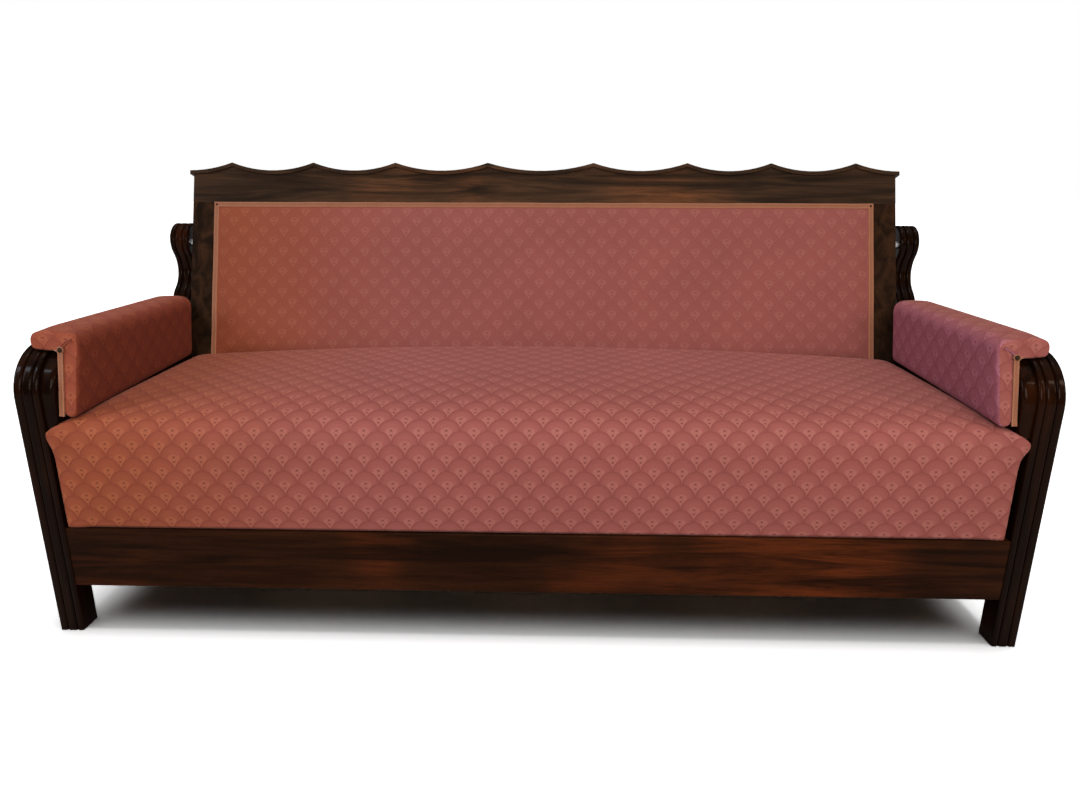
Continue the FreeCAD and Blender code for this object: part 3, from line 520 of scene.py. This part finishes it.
def makeCamera():
    view = cameraView
    data = bpy.data.cameras.new("photoCamera")
    data.sensor_width = view["sensorWidth"]
    data.lens = view["focalPixels"] / view["pictureWidth"] * view["sensorWidth"]
    camera = bpy.data.objects.new("photoCamera", data)
    scene.collection.objects.link(camera)
    turn = Matrix.Rotation(radians(view["yaw"]), 3, "Z")
    pitch = radians(view["pitch"])
    roll = radians(view["roll"])
    forward = turn @ Vector((0, cos(pitch), -sin(pitch)))
    right = Vector((1, 0, 0))
    down = Vector((0, -sin(pitch), -cos(pitch)))
    side = turn @ (cos(roll) * right + sin(roll) * down)
    below = turn @ (cos(roll) * down - sin(roll) * right)
    axes = Matrix((side, -below, -forward)).transposed()
    camera.matrix_world = Matrix.Translation(view["place"]) @ axes.to_4x4()
    scene.camera = camera


# floor, lamps and white surroundings
lightPlan = {
    "zenith": 0.80,
    "horizon": 0.005,
    "zenithEdge": (0.62, 0.92),  # sines of the heights between which the sky brightens
    "floorSize": 60,
    "floorPlain": 0.8,
    "floorWhite": 3.0,           # what a camera sees of the floor
    "floorMirrored": 2.05,       # what a reflection shows of it
    "sun": (0.50, (0.05, 0.0, 1.0), 12.0),  # strength, where it comes from, spread in degrees
    "softboxes": [
        # name, place, looks at, size, watts, colour
        ("softboxFront", (0.2, -3.6, 1.9), (0, 0, 0.45), (2.6, 1.3), 92, (1.0, 0.97, 0.94)),
        ("softboxLeft", (-2.7, -1.5, 1.9), (0.3, 0, 0.5), (0.4, 1.3), 30, (0.80, 0.86, 1.0)),
        ("softboxRight", (2.7, -1.9, 1.9), (-0.3, 0, 0.5), (0.4, 1.2), 22, (1.0, 0.80, 0.62)),
    ],
}


def makeFloor():
    plan = lightPlan
    bpy.ops.mesh.primitive_plane_add(size=plan["floorSize"], location=(0, 0, 0))
    floor = bpy.context.object
    floor.name = "floor"
    material, tree, shader = newMaterial("paleFloor")
    tree.nodes.remove(shader)
    rays = add(tree, "LightPath").outputs
    seen = calc(tree, "MAXIMUM", rays["Is Camera Ray"], rays["Is Glossy Ray"])
    seen = calc(tree, "MAXIMUM", seen, rays["Is Transmission Ray"])
    plain = add(tree, "BsdfDiffuse", Color=(plan["floorPlain"],) * 3 + (1,))
    level = blendNumber(tree, rays["Is Glossy Ray"], plan["floorWhite"], plan["floorMirrored"])
    tone = add(tree, "CombineColor", Red=level, Green=level, Blue=level)
    white = add(tree, "BsdfDiffuse", Color=tone.outputs[0])
    mixed = add(tree, "MixShader")
    feed(tree, mixed, {0: seen, 1: plain.outputs[0], 2: white.outputs[0]})
    feed(tree, tree.nodes["Material Output"], {0: mixed.outputs[0]})
    floor.data.materials.append(material)
    return floor


def makeSky():
    world = bpy.data.worlds.new("whiteRoom")
    world.use_nodes = True
    scene.world = world
    tree = world.node_tree
    ground = tree.nodes["Background"]
    rays = add(tree, "LightPath").outputs
    seen = calc(tree, "MAXIMUM", rays["Is Camera Ray"], rays["Is Transmission Ray"])
    direction = add(tree, "SeparateXYZ", Vector=add(tree, "TexCoord").outputs["Generated"])
    height = smooth(tree, direction.outputs[2], *lightPlan["zenithEdge"])
    level = blendNumber(tree, height, lightPlan["horizon"], lightPlan["zenith"])
    feed(tree, ground, {0: (1, 1, 1, 1), 1: blendNumber(tree, seen, level, 1.0)})


def makeLamps(floor):
    strength, source, spread = lightPlan["sun"]
    sun = bpy.data.objects.new("softSun", bpy.data.lights.new("softSun", "SUN"))
    sun.data.energy = strength
    sun.data.angle = radians(spread)
    sun.rotation_euler = Vector(source).to_track_quat("Z", "Y").to_euler()
    scene.collection.objects.link(sun)
    # the softboxes light the settee alone, so that its shadow lies right below it
    apart = bpy.data.collections.new("floorApart")
    apart.objects.link(floor)
    apart.collection_objects[0].light_linking.link_state = "EXCLUDE"
    for name, place, target, size, watts, color in lightPlan["softboxes"]:
        lamp = bpy.data.objects.new(name, bpy.data.lights.new(name, "AREA"))
        lamp.data.shape = "RECTANGLE"
        lamp.data.size, lamp.data.size_y = size
        lamp.data.energy = watts
        lamp.data.color = color
        lamp.location = place
        lamp.rotation_euler = (Vector(place) - Vector(target)).to_track_quat("Z", "Y").to_euler()
        lamp.light_linking.receiver_collection = apart
        scene.collection.objects.link(lamp)


makeCamera()
floor = makeFloor()
makeSky()
makeLamps(floor)
scene.view_settings.view_transform = "Standard"
print("camera, floor and lamps placed")


# small helpers for meshes
def ease(value, low, high):
    share = min(1.0, max(0.0, (value - low) / (high - low)))
    return share * share * (3 - 2 * share)


def newPiece(name, points, faces, clothPlaces, material):
    mesh = bpy.data.meshes.new(name)
    mesh.from_pydata(points, [], faces)
    layer = mesh.uv_layers.new(name="cloth")
    for loop in mesh.loops:
        layer.data[loop.index].uv = clothPlaces[loop.vertex_index]
    for polygon in mesh.polygons:
        polygon.use_smooth = True
    mesh.materials.append(material)
    piece = bpy.data.objects.new(name, mesh)
    scene.collection.objects.link(piece)
    return piece


def gridFaces(rows, columns, closed=False):
    faces = []
    for i in range(rows - 1):
        for j in range(columns if closed else columns - 1):
            k = (j + 1) % columns
            faces.append((i * columns + j, i * columns + k, (i + 1) * columns + k, (i + 1) * columns + j))
    return faces


def closeHoles(piece, sharp=False):
    # a sharp edge keeps its line when the piece is subdivided
    work = bmesh.new()
    work.from_mesh(piece.data)
    crease = work.edges.layers.float.new("crease_edge")
    edges = [edge for edge in work.edges if edge.is_boundary]
    for edge in edges:
        edge[crease] = 1.0 if sharp else 0.0
    filled = bmesh.ops.holes_fill(work, edges=edges, sides=0)["faces"]
    bmesh.ops.triangulate(work, faces=filled)
    bmesh.ops.recalc_face_normals(work, faces=work.faces)
    work.to_mesh(piece.data)
    work.free()


def evenPlaces(lengths, steps):
    # even steps along a dense line: the stretch each one falls in, its share of that stretch, its length
    places = []
    place = 0
    for i in range(steps + 1):
        wanted = lengths[-1] * i / steps
        while place < len(lengths) - 2 and lengths[place + 1] < wanted:
            place += 1
        span = max(1e-9, lengths[place + 1] - lengths[place])
        places.append((place, (wanted - lengths[place]) / span, wanted))
    return places


# covers stretch a little over their stuffing
clothPlan = {
    "frames": 20,
    "hold": 0.25,  # how firmly the stuffing holds a free point
    "settings": {"quality": 5, "mass": 0.25, "tension_stiffness": 20, "compression_stiffness": 20,
                 "shear_stiffness": 8, "bending_stiffness": 1.5, "use_pressure": True,
                 "uniform_pressure_force": 2.5},
}


def swell(piece, heldPoints, cap):
    # no point moves further than cap
    plan = clothPlan
    group = piece.vertex_groups.new(name="held")
    held = set(heldPoints)
    for vertex in piece.data.vertices:
        group.add([vertex.index], 1.0 if vertex.index in held else plan["hold"], "REPLACE")
    cloth = piece.modifiers.new("cover", "CLOTH")
    for key, value in plan["settings"].items():
        setattr(cloth.settings, key, value)
    cloth.settings.effector_weights.gravity = 0
    cloth.settings.vertex_group_mass = "held"
    cloth.point_cache.frame_start = 1
    cloth.point_cache.frame_end = plan["frames"]
    for number in range(1, plan["frames"] + 1):
        scene.frame_set(number)
    graph = bpy.context.evaluated_depsgraph_get()
    moved = [vertex.co.copy() for vertex in piece.evaluated_get(graph).data.vertices]
    largest = 0.0
    for vertex, place in zip(piece.data.vertices, moved):
        step = place - vertex.co
        largest = max(largest, step.length)
        if step.length > cap:
            step *= cap / step.length
        vertex.co += step
    piece.modifiers.remove(cloth)
    piece.vertex_groups.clear()
    scene.frame_set(1)
    print(piece.name, "cover settled, largest move %.1f mm" % (largest * 1000))


def finishSoft(piece, body, replaced):
    modifier = piece.modifiers.new("soften", "SUBSURF")
    modifier.levels = 1
    modifier.render_levels = 1
    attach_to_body(piece, body)
    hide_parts(replaced)


# seat: one cover from the front hem over the crown to the rear
seatForm = {
    "frontFace": 0.420,          # top of the flat front, above the floor
    "frontBack": 0.003,          # the hem behind the front of the seat's solid
    "frontBulge": 0.004,
    "hemDrop": 0.0015,
    "noseRadius": 0.052,
    "noseTurn": 60.0,            # degrees
    "endRise": 0.016,
    "crownRise": 0.047,
    "fullness": 6.5,             # how soon behind the nose the crown is full
    "ridgeDepth": 0.519,         # from the front of the posts
    "shelfDepth": 0.539,
    "shelfHeight": 0.4435,
    "rearRound": 0.026,
    "halfWidth": 0.9145,
    "edgeRound": 0.010,
    "edgeTurns": (0.0, 30.0, 60.0, 90.0),  # degrees around the edge
    "sideDepths": (0.024, 0.040),          # how far the sides reach down
    "edgeDrop": 0.012,           # the top rolls down towards the arms
    "edgeRoll": 0.055,           # over this width
    "ears": {-1: 0.9490, 1: 0.9420},       # half width at the front corners
    "flares": {-1: 0.0070, 1: 0.0125},     # and what they gain between two heights
    "flareLevels": (0.405, 0.450),
    "earTop": 0.478,             # the ear's upper edge where it leaves the arm's foot
    "earFall": 0.80,             # and how steeply it falls outwards
    "earStart": 0.915,           # from this half width on
    "earEdge": (0.895, 0.930),
    "earDepth": (0.027, 0.041),  # from the front of the posts, where the ear ends
    "earStretch": 0.06,          # share of the half width that is drawn out to the ear
    "earHold": 0.02,             # the ear bends down from this far below the top of the front
    "earForward": 0.9,           # share of its depth that is pulled to the front
    "earLip": 0.006,
    "lipLevels": (-0.02, 0.03),  # around the ear's start
    "sag": 0.0012,               # small waves along the ear's edge
    "sagPitch": 0.047,
    "sagShift": 1.0,
    "spacing": 0.012,
    "clothTurn": -0.6,           # degrees, the cover is laid a little askew
    "swellCap": 0.006,
    "fill": 0.8,
}
noseTurn = radians(seatForm["noseTurn"])
noseTop = seatForm["frontFace"] + seatForm["noseRadius"] * sin(noseTurn)


def seatProfile():
    # rows of (depth, height, share of the crown's rise) from the hem to the rear, each with its length
    form = seatForm
    front = seatLow.y + form["frontBack"]
    rear = seatHigh.y
    base = seatLow.z - form["hemDrop"]
    face = form["frontFace"]
    nose = form["noseRadius"]
    noseEnd = front + nose * (1 - cos(noseTurn))
    full = 1 - exp(-form["fullness"])
    ridge = postLow.y + form["ridgeDepth"]
    shelf = postLow.y + form["shelfDepth"]
    level = form["shelfHeight"]
    edge = form["rearRound"]
    quarter = pi / 2
    dense = []

    def sweep(shape, steps=60):
        dense.extend(shape(i / steps) for i in range(steps))

    # front, nose, top, roll behind the ridge, shelf below the back, rear edge and rear
    sweep(lambda t: (front - form["frontBulge"] * sin(pi * t), base + (face - base) * t, 0.0))
    sweep(lambda t: (front + nose * (1 - cos(noseTurn * t)), face + nose * sin(noseTurn * t), 0.0))
    sweep(lambda t: (noseEnd + (ridge - noseEnd) * t, noseTop,
                     (1 - exp(-form["fullness"] * t)) / full), 180)
    sweep(lambda t: (ridge + (shelf - ridge) * sin(quarter * t),
                     level + (noseTop - level) * cos(quarter * t), cos(quarter * t)))
    sweep(lambda t: (shelf + (rear - edge - shelf) * t, level, 0.0))
    sweep(lambda t: (rear - edge * (1 - sin(quarter * t)),
                     level - edge * (1 - cos(quarter * t)), 0.0))
    sweep(lambda t: (rear, level - edge + (base - level + edge) * t, 0.0))
    dense.append((rear, base, 0.0))
    # even spacing along the middle of the seat
    crown = form["crownRise"]
    lengths = [0.0]
    for a, b in zip(dense, dense[1:]):
        lengths.append(lengths[-1] + hypot(b[0] - a[0], b[1] + b[2] * crown - a[1] - a[2] * crown))
    rows = []
    for place, share, length in evenPlaces(lengths, round(lengths[-1] / form["spacing"])):
        rows.append((tuple(m + (n - m) * share for m, n in zip(dense[place], dense[place + 1])), length))
    return rows


def seatLine(halves):
    # places across the seat and how far each lies down the sides, from left to right
    form = seatForm
    wide = form["halfWidth"]
    edge = form["edgeRound"]
    columns = round(2 * wide / form["spacing"])
    sides = {}
    for side, half in halves.items():
        turns = [radians(turn) for turn in form["edgeTurns"]]
        around = [(half - edge + edge * sin(turn), edge * (1 - cos(turn))) for turn in turns]
        around += [(half, depth) for depth in form["sideDepths"]]
        sides[side] = [(side * x, depth) for x, depth in around]
    middle = []
    for j in range(1, columns):
        c = 2 * j / columns - 1
        x = c * (wide - edge)
        stretch = max(0.0, (abs(c) - 1 + form["earStretch"]) / form["earStretch"])
        x += copysign(stretch * (halves[1 if c > 0 else -1] - wide), c)
        middle.append((x, 0.0))
    return list(reversed(sides[-1])) + middle + sides[1], len(sides[1])


def makeSeat():
    form = seatForm
    wide = form["halfWidth"]
    rows = seatProfile()
    points, cloth, held = [], [], []
    turn = radians(form["clothTurn"])
    hold = form["frontFace"] - form["earHold"]
    for number, ((y, z, share), length) in enumerate(rows):
        before = rows[max(0, number - 1)][0]
        after = rows[min(len(rows) - 1, number + 1)][0]
        run = Vector((after[0] - before[0], after[1] - before[1]))
        inward = Vector((run.y, -run.x)).normalized()
        depth = y - postLow.y
        earShare = 1 - ease(depth, *form["earDepth"])
        flare = ease(z, *form["flareLevels"]) * earShare
        sag = form["sag"] * sin(z * 2 * pi / form["sagPitch"] + form["sagShift"]) * earShare
        halves = {side: wide + (form["ears"][side] - wide) * earShare
                  + form["flares"][side] * flare - abs(sag) for side in (-1, 1)}
        line, ends = seatLine(halves)
        for j, (x, sink) in enumerate(line):
            reach = min(1.0, abs(x) / wide)
            rise = form["endRise"] + (form["crownRise"] - form["endRise"]) * (1 - reach ** 2)
            rolled = ease(abs(x), wide - form["edgeRoll"], wide)
            drop = form["edgeDrop"] * rolled ** 2 * share
            # the front corners are pulled forward, and their upper edge falls outwards
            ear = ease(abs(x), *form["earEdge"]) * earShare
            earLine = form["earTop"] - form["earFall"] * max(0.0, abs(x) - form["earStart"])
            low = z
            if z > hold and earLine < noseTop:
                low = hold + (z - hold) * (earLine - hold) / (noseTop - hold)
            lip = form["earLip"] * ease(z, *[hold + level for level in form["lipLevels"]])
            forward = ear * (form["earForward"] * (y - seatLow.y) + lip)
            points.append((x, y - forward + inward.x * sink,
                           z + ear * (low - z) + share * rise - drop + inward.y * sink))
            u, v = x + copysign(sink, x), length
            cloth.append((u * cos(turn) - v * sin(turn), u * sin(turn) + v * cos(turn)))
            atSide = j < ends or j >= len(line) - ends
            if atSide or number in (0, 1) or depth > form["shelfDepth"]:
                held.append(len(points) - 1)
    seat = newPiece("seatCover", points, gridFaces(len(rows), len(line)), cloth, seatFabric)
    closeHoles(seat, sharp=True)
    swell(seat, held, form["swellCap"])
    finishSoft(seat, "frame", "seat_pad")


makeSeat()
print("seat made")


# back: a crowned panel held at its edges
backForm = {
    "field": 0.0175,      # cover in front of the panel's middle, at its edge
    "crown": 0.012,
    "thickness": 0.012,
    "spacing": 0.012,
    "shift": 0.004,       # the field sits a little to the right
    "underGimp": 0.0015,  # the cover ends this far inside the gimp's outer edge
    "sideRim": 0.013,     # flat strips below the gimp
    "topRim": 0.012,
    "rounding": 0.07,     # the crown rises over this width
    "footRounding": 0.04,
    "swellCap": 0.005,
    "fill": 0.7,
}


def makeBack():
    form = backForm
    half = braidSide - form["underGimp"]
    foot = braidFoot
    top = braidTop - form["underGimp"]
    columns = round(2 * half / form["spacing"]) + 1
    rows = round((top - foot) / form["spacing"]) + 1
    points, cloth, held = [], [], []
    for i in range(rows):
        along = foot + (top - foot) * i / (rows - 1)
        for j in range(columns):
            c = 2 * j / (columns - 1) - 1
            inside = [(half - form["sideRim"] - abs(c * half)) / form["rounding"],
                      (top - form["topRim"] - along) / form["rounding"],
                      (along - foot) / form["footRounding"]]
            full = 1.0
            for share in inside:
                full *= 1 - (1 - min(1.0, max(0.0, share))) ** 3
            across = -form["field"] - form["crown"] * full
            x = c * half + form["shift"] * (1 - abs(c))
            points.append(panelPoint(x, across, along))
            cloth.append((x, along))
            if i in (0, 1, rows - 1, rows - 2) or j in (0, 1, columns - 1, columns - 2):
                held.append(len(points) - 1)
    faces = gridFaces(rows, columns)
    # the cover turns back around its edge
    rim = list(range(columns)) + [i * columns + columns - 1 for i in range(1, rows)]
    rim += [(rows - 1) * columns + j for j in range(columns - 2, -1, -1)]
    rim += [i * columns for i in range(rows - 2, 0, -1)]
    start = len(points)
    backward = panelPoint(0, form["thickness"], 0) - panelPoint(0, 0, 0)
    for index in rim:
        points.append(points[index] + backward)
        cloth.append(cloth[index])
        held.append(len(points) - 1)
    for n in range(len(rim)):
        m = (n + 1) % len(rim)
        faces.append((rim[m], rim[n], start + n, start + m))
    back = newPiece("backCover", points, faces, cloth, backFabric)
    closeHoles(back)
    swell(back, held, form["swellCap"])
    finishSoft(back, "backrest", "back_pad")


makeBack()
print("back made")


# arms: a thick inner side under a top that laps over the arm rail
armForm = {
    "innerRound": 0.018,
    "outerRound": 0.011,
    "footRound": 0.006,
    "lapRound": 0.004,
    "boardRound": 0.003,
    "rake": 0.024,
    "frontDepth": 0.040,
    "footFront": 0.468,
    "footRear": 0.483,
    "topHeight": 0.634,
    "middleHeight": 0.585,       # the ends are rounded towards this height
    "crown": 0.004,
    "innerFoot": 0.893,
    "railGap": 0.001,
    "boardGap": 0.001,
    "spacing": 0.011,
    "endRound": 0.007,
    "endSteps": (0.0, 0.3, 0.7, 1.0),
    "lapBack": 0.014,            # the lap over the rail starts this far behind the inner part
    "lapRun": 0.12,              # and this set-back ends so far behind the front
    "lapEdge": (-0.004, 0.030),  # from the inner face of the board outwards
    "lapEase": 0.012,
    "lapOut": 0.011,
    "lapFollow": 0.55,           # share of the bend's fall that the lap follows
    "noseFall": 0.003,           # the top rolls down to the front
    "noseRun": 0.07,
    "topEase": 0.02,
    "endFace": 0.75,             # a face that looks more to the front or rear than this is an end
    "heldEdge": 0.004,           # the cover is held this close to the board and the rail
    "swellCap": 0.004,
    "fill": 0.75,
}


def roundedLoop(corners, radii, spacing):
    # closed outline with round corners, points about evenly spaced
    dense = []
    count = len(corners)
    arcSteps = 6
    for i in range(count):
        here = Vector(corners[i])
        back = (Vector(corners[i - 1]) - here).normalized()
        ahead = (Vector(corners[(i + 1) % count]) - here).normalized()
        half = back.angle(ahead) / 2
        reach = radii[i] / tan(half)
        start, end = here + back * reach, here + ahead * reach
        centre = here + (back + ahead).normalized() * (radii[i] / sin(half))
        for step in range(arcSteps + 1):
            spoke = (start - centre).lerp(end - centre, step / arcSteps).normalized()
            dense.append(centre + spoke * radii[i])
    dense.append(dense[0])
    lengths = [0.0]
    for a, b in zip(dense, dense[1:]):
        lengths.append(lengths[-1] + (b - a).length)
    return [(dense[place].lerp(dense[place + 1], share), length)
            for place, share, length in evenPlaces(lengths, round(lengths[-1] / spacing))[:-1]]


def bendTop(y):
    # height of the bent post and arm rail under the pad
    depth = y - postLow.y
    if depth >= bendRadius:
        return postHigh.z
    return postHigh.z - bendRadius + sqrt(max(0.0, bendRadius ** 2 - (bendRadius - depth) ** 2))


def armAlongs(front, rear):
    # places along the arm, and how much the outline shrinks there
    form = armForm
    rounding = form["endRound"]
    count = round((rear - front) / form["spacing"])
    quarter = pi / 2
    alongs = [(front + rounding * (1 - cos(quarter * e)), rounding * (1 - sin(quarter * e)))
              for e in form["endSteps"]]
    ends = [(rear - (y - front), shrink) for y, shrink in reversed(alongs)]
    for i in range(1, count):
        alongs.append((front + rounding + (rear - front - 2 * rounding) * i / count, 0.0))
    return alongs + ends


def makeArm(side, name, node):
    form = armForm
    top = form["topHeight"]
    railTop = postHigh.z + form["railGap"]
    lapInner = boardInner - form["boardGap"]
    corners = [(form["innerFoot"], form["footRear"]), (padLow.x, top), (padHigh.x, top),
               (padHigh.x, railTop), (lapInner, railTop), (lapInner, form["footRear"])]
    radii = [form[place + "Round"] for place in ("foot", "inner", "outer", "lap", "board", "foot")]
    loop = roundedLoop(corners, radii, form["spacing"])
    front = postLow.y + form["frontDepth"]
    rear = padHigh.y
    middle = Vector((0.5 * (padLow.x + padHigh.x), form["middleHeight"]))
    halfPad = 0.5 * (padHigh.x - padLow.x)
    lapEdge = [boardInner + reach for reach in form["lapEdge"]]
    alongs = armAlongs(front, rear)
    points, cloth = [], []
    for y, shrink in alongs:
        t = (y - front) / (rear - front)
        for place, length in loop:
            x, z = place
            toMiddle = (middle - place).normalized()
            x += toMiddle.x * shrink
            z += toMiddle.y * shrink
            # the foot drops to the front, and the front face rakes forward below
            low = ease(top - z, 0.0, top - form["footRear"])
            z -= (form["footRear"] - form["footFront"]) * (1 - t) * low
            rake = form["rake"] * (top - z) / (top - form["footFront"]) * (1 - t)
            # over the bend the lap starts further back and follows the post down
            nearFront = 1 - ease(y - front, 0.0, form["lapRun"])
            lap = ease(x, *lapEdge)
            back = form["lapBack"] * lap * nearFront
            onRail = lap * (1 - ease(z, railTop, railTop + form["lapEase"]))
            z -= onRail * form["lapFollow"] * (railTop - form["railGap"] * 2 - bendTop(y + back))
            crown = form["crown"] * max(0.0, 1 - ((x - middle.x) / halfPad) ** 2)
            high = ease(z, top - form["topEase"], top)
            z += (crown - form["noseFall"] * (1 - ease(y - front, 0.0, form["noseRun"]))) * high
            x += form["lapOut"] * lap * (1 - t)
            points.append((side * x, y - rake + back, z))
            cloth.append((side * (y - front), length))
    arm = newPiece(name, points, gridFaces(len(alongs), len(loop), closed=True), cloth, armFabrics[side])
    closeHoles(arm)
    # the cloth lies flat on the ends
    layer = arm.data.uv_layers["cloth"].data
    for polygon in arm.data.polygons:
        if abs(polygon.normal.y) > form["endFace"]:
            for index in polygon.loop_indices:
                place = arm.data.vertices[arm.data.loops[index].vertex_index].co
                layer[index].uv = (place.x - side * padLow.x, place.z)
    near = form["heldEdge"]
    held = [i for i, p in enumerate(points) if abs(p[0]) > boardInner - near and p[2] < railTop + near]
    swell(arm, held, form["swellCap"])
    finishSoft(arm, "frame", node)


makeArm(1, "armCoverRight", "arm_pad_right")
makeArm(-1, "armCoverLeft", "arm_pad_left")
print("arms made")


# tan gimp
gimpForm = {
    # shares of the thickness and of the half width, edge to edge
    "heights": (0.0, 0.75, 1.0, 0.62, 0.72, 0.62, 1.0, 0.75, 0.0),
    "acrosses": (-1.0, -0.86, -0.62, -0.32, 0.0, 0.32, 0.62, 0.86, 1.0),
    "thickness": 0.0030,
    "step": 0.0018,
    "plait": 0.0045,
    "plaitRise": 0.16,
    "plaitSlant": 3,
    "waver": 0.0007,      # it is glued on by hand
    "waverRun": 14,
    "backWidth": 0.014,
    "backSink": 0.0004,   # into the cover
    "armWidth": 0.011,
    "armFootGap": 0.004,
    "armHeadGap": 0.002,  # below the nail
    "tailStart": (0.002, -0.001, 0.001),  # arm gimp turned along the bend: outwards, up, forward
    "tailEnd": (0.024, 0.001, 0.014),     # outwards and up from the nail, back from the start
    "tailWidth": 0.007,
    "tailThickness": 0.002,
    "tailFace": (0, -0.85, 0.53),
}


def strip(name, corners, normal, width, material, thickness=gimpForm["thickness"]):
    # a trim along straight runs in one plane, with mitred corners
    form = gimpForm
    count = len(corners)
    runs = [(b - a).normalized() for a, b in zip(corners, corners[1:])]
    outs = [run.cross(normal) for run in runs]
    mitres = []
    for i in range(count):
        a, b = outs[max(0, i - 1)], outs[min(count - 2, i)]
        mitres.append((a + b) / (1 + a.dot(b)))
    points, cloth, length = [], [], 0.0
    for i, (a, b) in enumerate(zip(corners, corners[1:])):
        steps = max(2, round((b - a).length / form["step"]))
        for n in range(0 if i == 0 else 1, steps + 1):
            share = n / steps
            along = length + share * (b - a).length
            # each run and width has a wave of its own
            shift = form["waver"] * noise.noise(Vector((along * form["waverRun"], i * 3.7, width * 100)))
            for c, h in zip(form["acrosses"], form["heights"]):
                edge = mitres[i].lerp(mitres[i + 1], share) * (c * width / 2)
                turn = 2 * pi * along / form["plait"] + form["plaitSlant"] * c
                rise = thickness * h * (1 + form["plaitRise"] * sin(turn))
                points.append(a.lerp(b, share) + edge + outs[i] * shift + normal * rise)
                cloth.append((along, c))
        length += (b - a).length
    columns = len(form["acrosses"])
    rows = len(points) // columns
    faces = gridFaces(rows, columns)
    # underside, from edge to edge
    faces += [(i * columns + columns - 1, i * columns, (i + 1) * columns, (i + 1) * columns + columns - 1)
              for i in range(rows - 1)]
    piece = newPiece(name, points, faces, cloth, material)
    closeHoles(piece)
    return piece


def turned(name, profile, place, axis, material):
    # a turned shape from (radius, height) points along an axis
    sides = 20
    turn = axis.to_track_quat("Z", "Y").to_matrix()
    points, cloth = [], []
    for radius, height in profile:
        for n in range(sides):
            angle = 2 * pi * n / sides
            points.append(place + turn @ Vector((radius * cos(angle), radius * sin(angle), height)))
            cloth.append((nailForm["loopRun"] * n / sides, 0))
    piece = newPiece(name, points, gridFaces(len(profile), sides, closed=True), cloth, material)
    closeHoles(piece)
    return piece


def attach(piece, body, replaced=None):
    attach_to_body(piece, body)
    if replaced:
        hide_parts(replaced)


# nails and pins, with a loop of trim and a pleat at each arm's nail
nailForm = {
    "height": 0.601,
    "radius": 0.0046,
    "pinRadius": 0.0026,
    "pinSink": 0.6,   # share of the gimp's thickness below a pin's head
    "nailSink": 0.5,
    "dome": ((1.0, 0.0), (1.0, 0.25), (0.86, 0.55), (0.6, 0.78), (0.3, 0.9), (0.06, 0.94)),  # in radii
    "loop": ((0.0040, 0.0), (0.0048, 0.0014), (0.0060, 0.0020), (0.0072, 0.0014), (0.0078, 0.0)),
    "loopRun": 0.03,  # trim around the loop
    "pleat": ((-0.003, 0.005), (-0.012, 0.014), (-0.024, 0.019)),  # across and up from the nail
    "pleatWidth": 0.006,
    "pleatThickness": 0.0022,
}


def nail(name, place, axis, radius, body, replaced=None):
    dome = [(across * radius, up * radius) for across, up in nailForm["dome"]]
    attach(turned(name, dome, place, axis, darkNail), body, replaced)


def makeBackGimp():
    width = gimpForm["backWidth"]
    side = braidSide - width / 2
    top = braidTop - width / 2
    out = panelPoint(0, -1, 0) - panelPoint(0, 0, 0)
    base = gimpForm["backSink"] - backForm["field"]
    corners = [panelPoint(x, base, along)
               for x, along in ((-side, braidFoot), (-side, top), (side, top), (side, braidFoot))]
    attach(strip("backGimp", corners, out, width, trim), "backrest", "back_braid")
    for number, place in enumerate(corners[1:3]):
        head = place + out * gimpForm["thickness"] * nailForm["pinSink"]
        nail("gimpPin_%d" % number, head, out, nailForm["pinRadius"], "backrest")


def makeArmTrim(side, word, replaced):
    form = gimpForm
    armBraidLow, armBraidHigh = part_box("arm_braid_right")
    width = form["armWidth"]
    slope = armForm["rake"] / (armForm["topHeight"] - armForm["footFront"])
    topY = postLow.y + armForm["frontDepth"]
    level = nailForm["height"]

    def spot(x, z, ahead=0.0):
        return Vector((side * x, topY - slope * (armForm["topHeight"] - z) - ahead, z))

    lowX = armBraidHigh.x - width / 2
    highX = armBraidLow.x + width / 2
    normal = Vector((0, -1, slope)).normalized()
    foot = spot(lowX, armForm["footFront"] + form["armFootGap"])
    head = spot(highX, level - form["armHeadGap"])
    gimp = strip("armGimp" + word, [foot, head], normal, width, trim)
    attach(gimp, "frame", "arm_braid_" + word.lower())
    out, up, ahead = form["tailStart"]
    tailStart = spot(highX + out, level + up, ahead)
    out, up, back = form["tailEnd"]
    tailEnd = Vector((side * (highX + out), tailStart.y + back, level + up))
    tail = strip("armTail" + word, [tailStart, tailEnd], Vector(form["tailFace"]), form["tailWidth"], trim,
                 form["tailThickness"])
    attach(tail, "frame")
    centre = spot(highX, level, form["thickness"] * nailForm["nailSink"])
    nail("armNail" + word, centre, normal, nailForm["radius"], "frame", replaced)
    attach(turned("armLoop" + word, nailForm["loop"], centre, normal, trim), "frame")
    # pleat from the nail up to the pad's inner top corner
    folds = [spot(highX + across, level + up) for across, up in nailForm["pleat"]]
    pleat = strip("armPleat" + word, folds, normal, nailForm["pleatWidth"], armFabrics[side],
                  nailForm["pleatThickness"])
    attach(pleat, "frame")


makeBackGimp()
makeArmTrim(1, "Right", "arm_nails")
makeArmTrim(-1, "Left", None)
print("trim made")
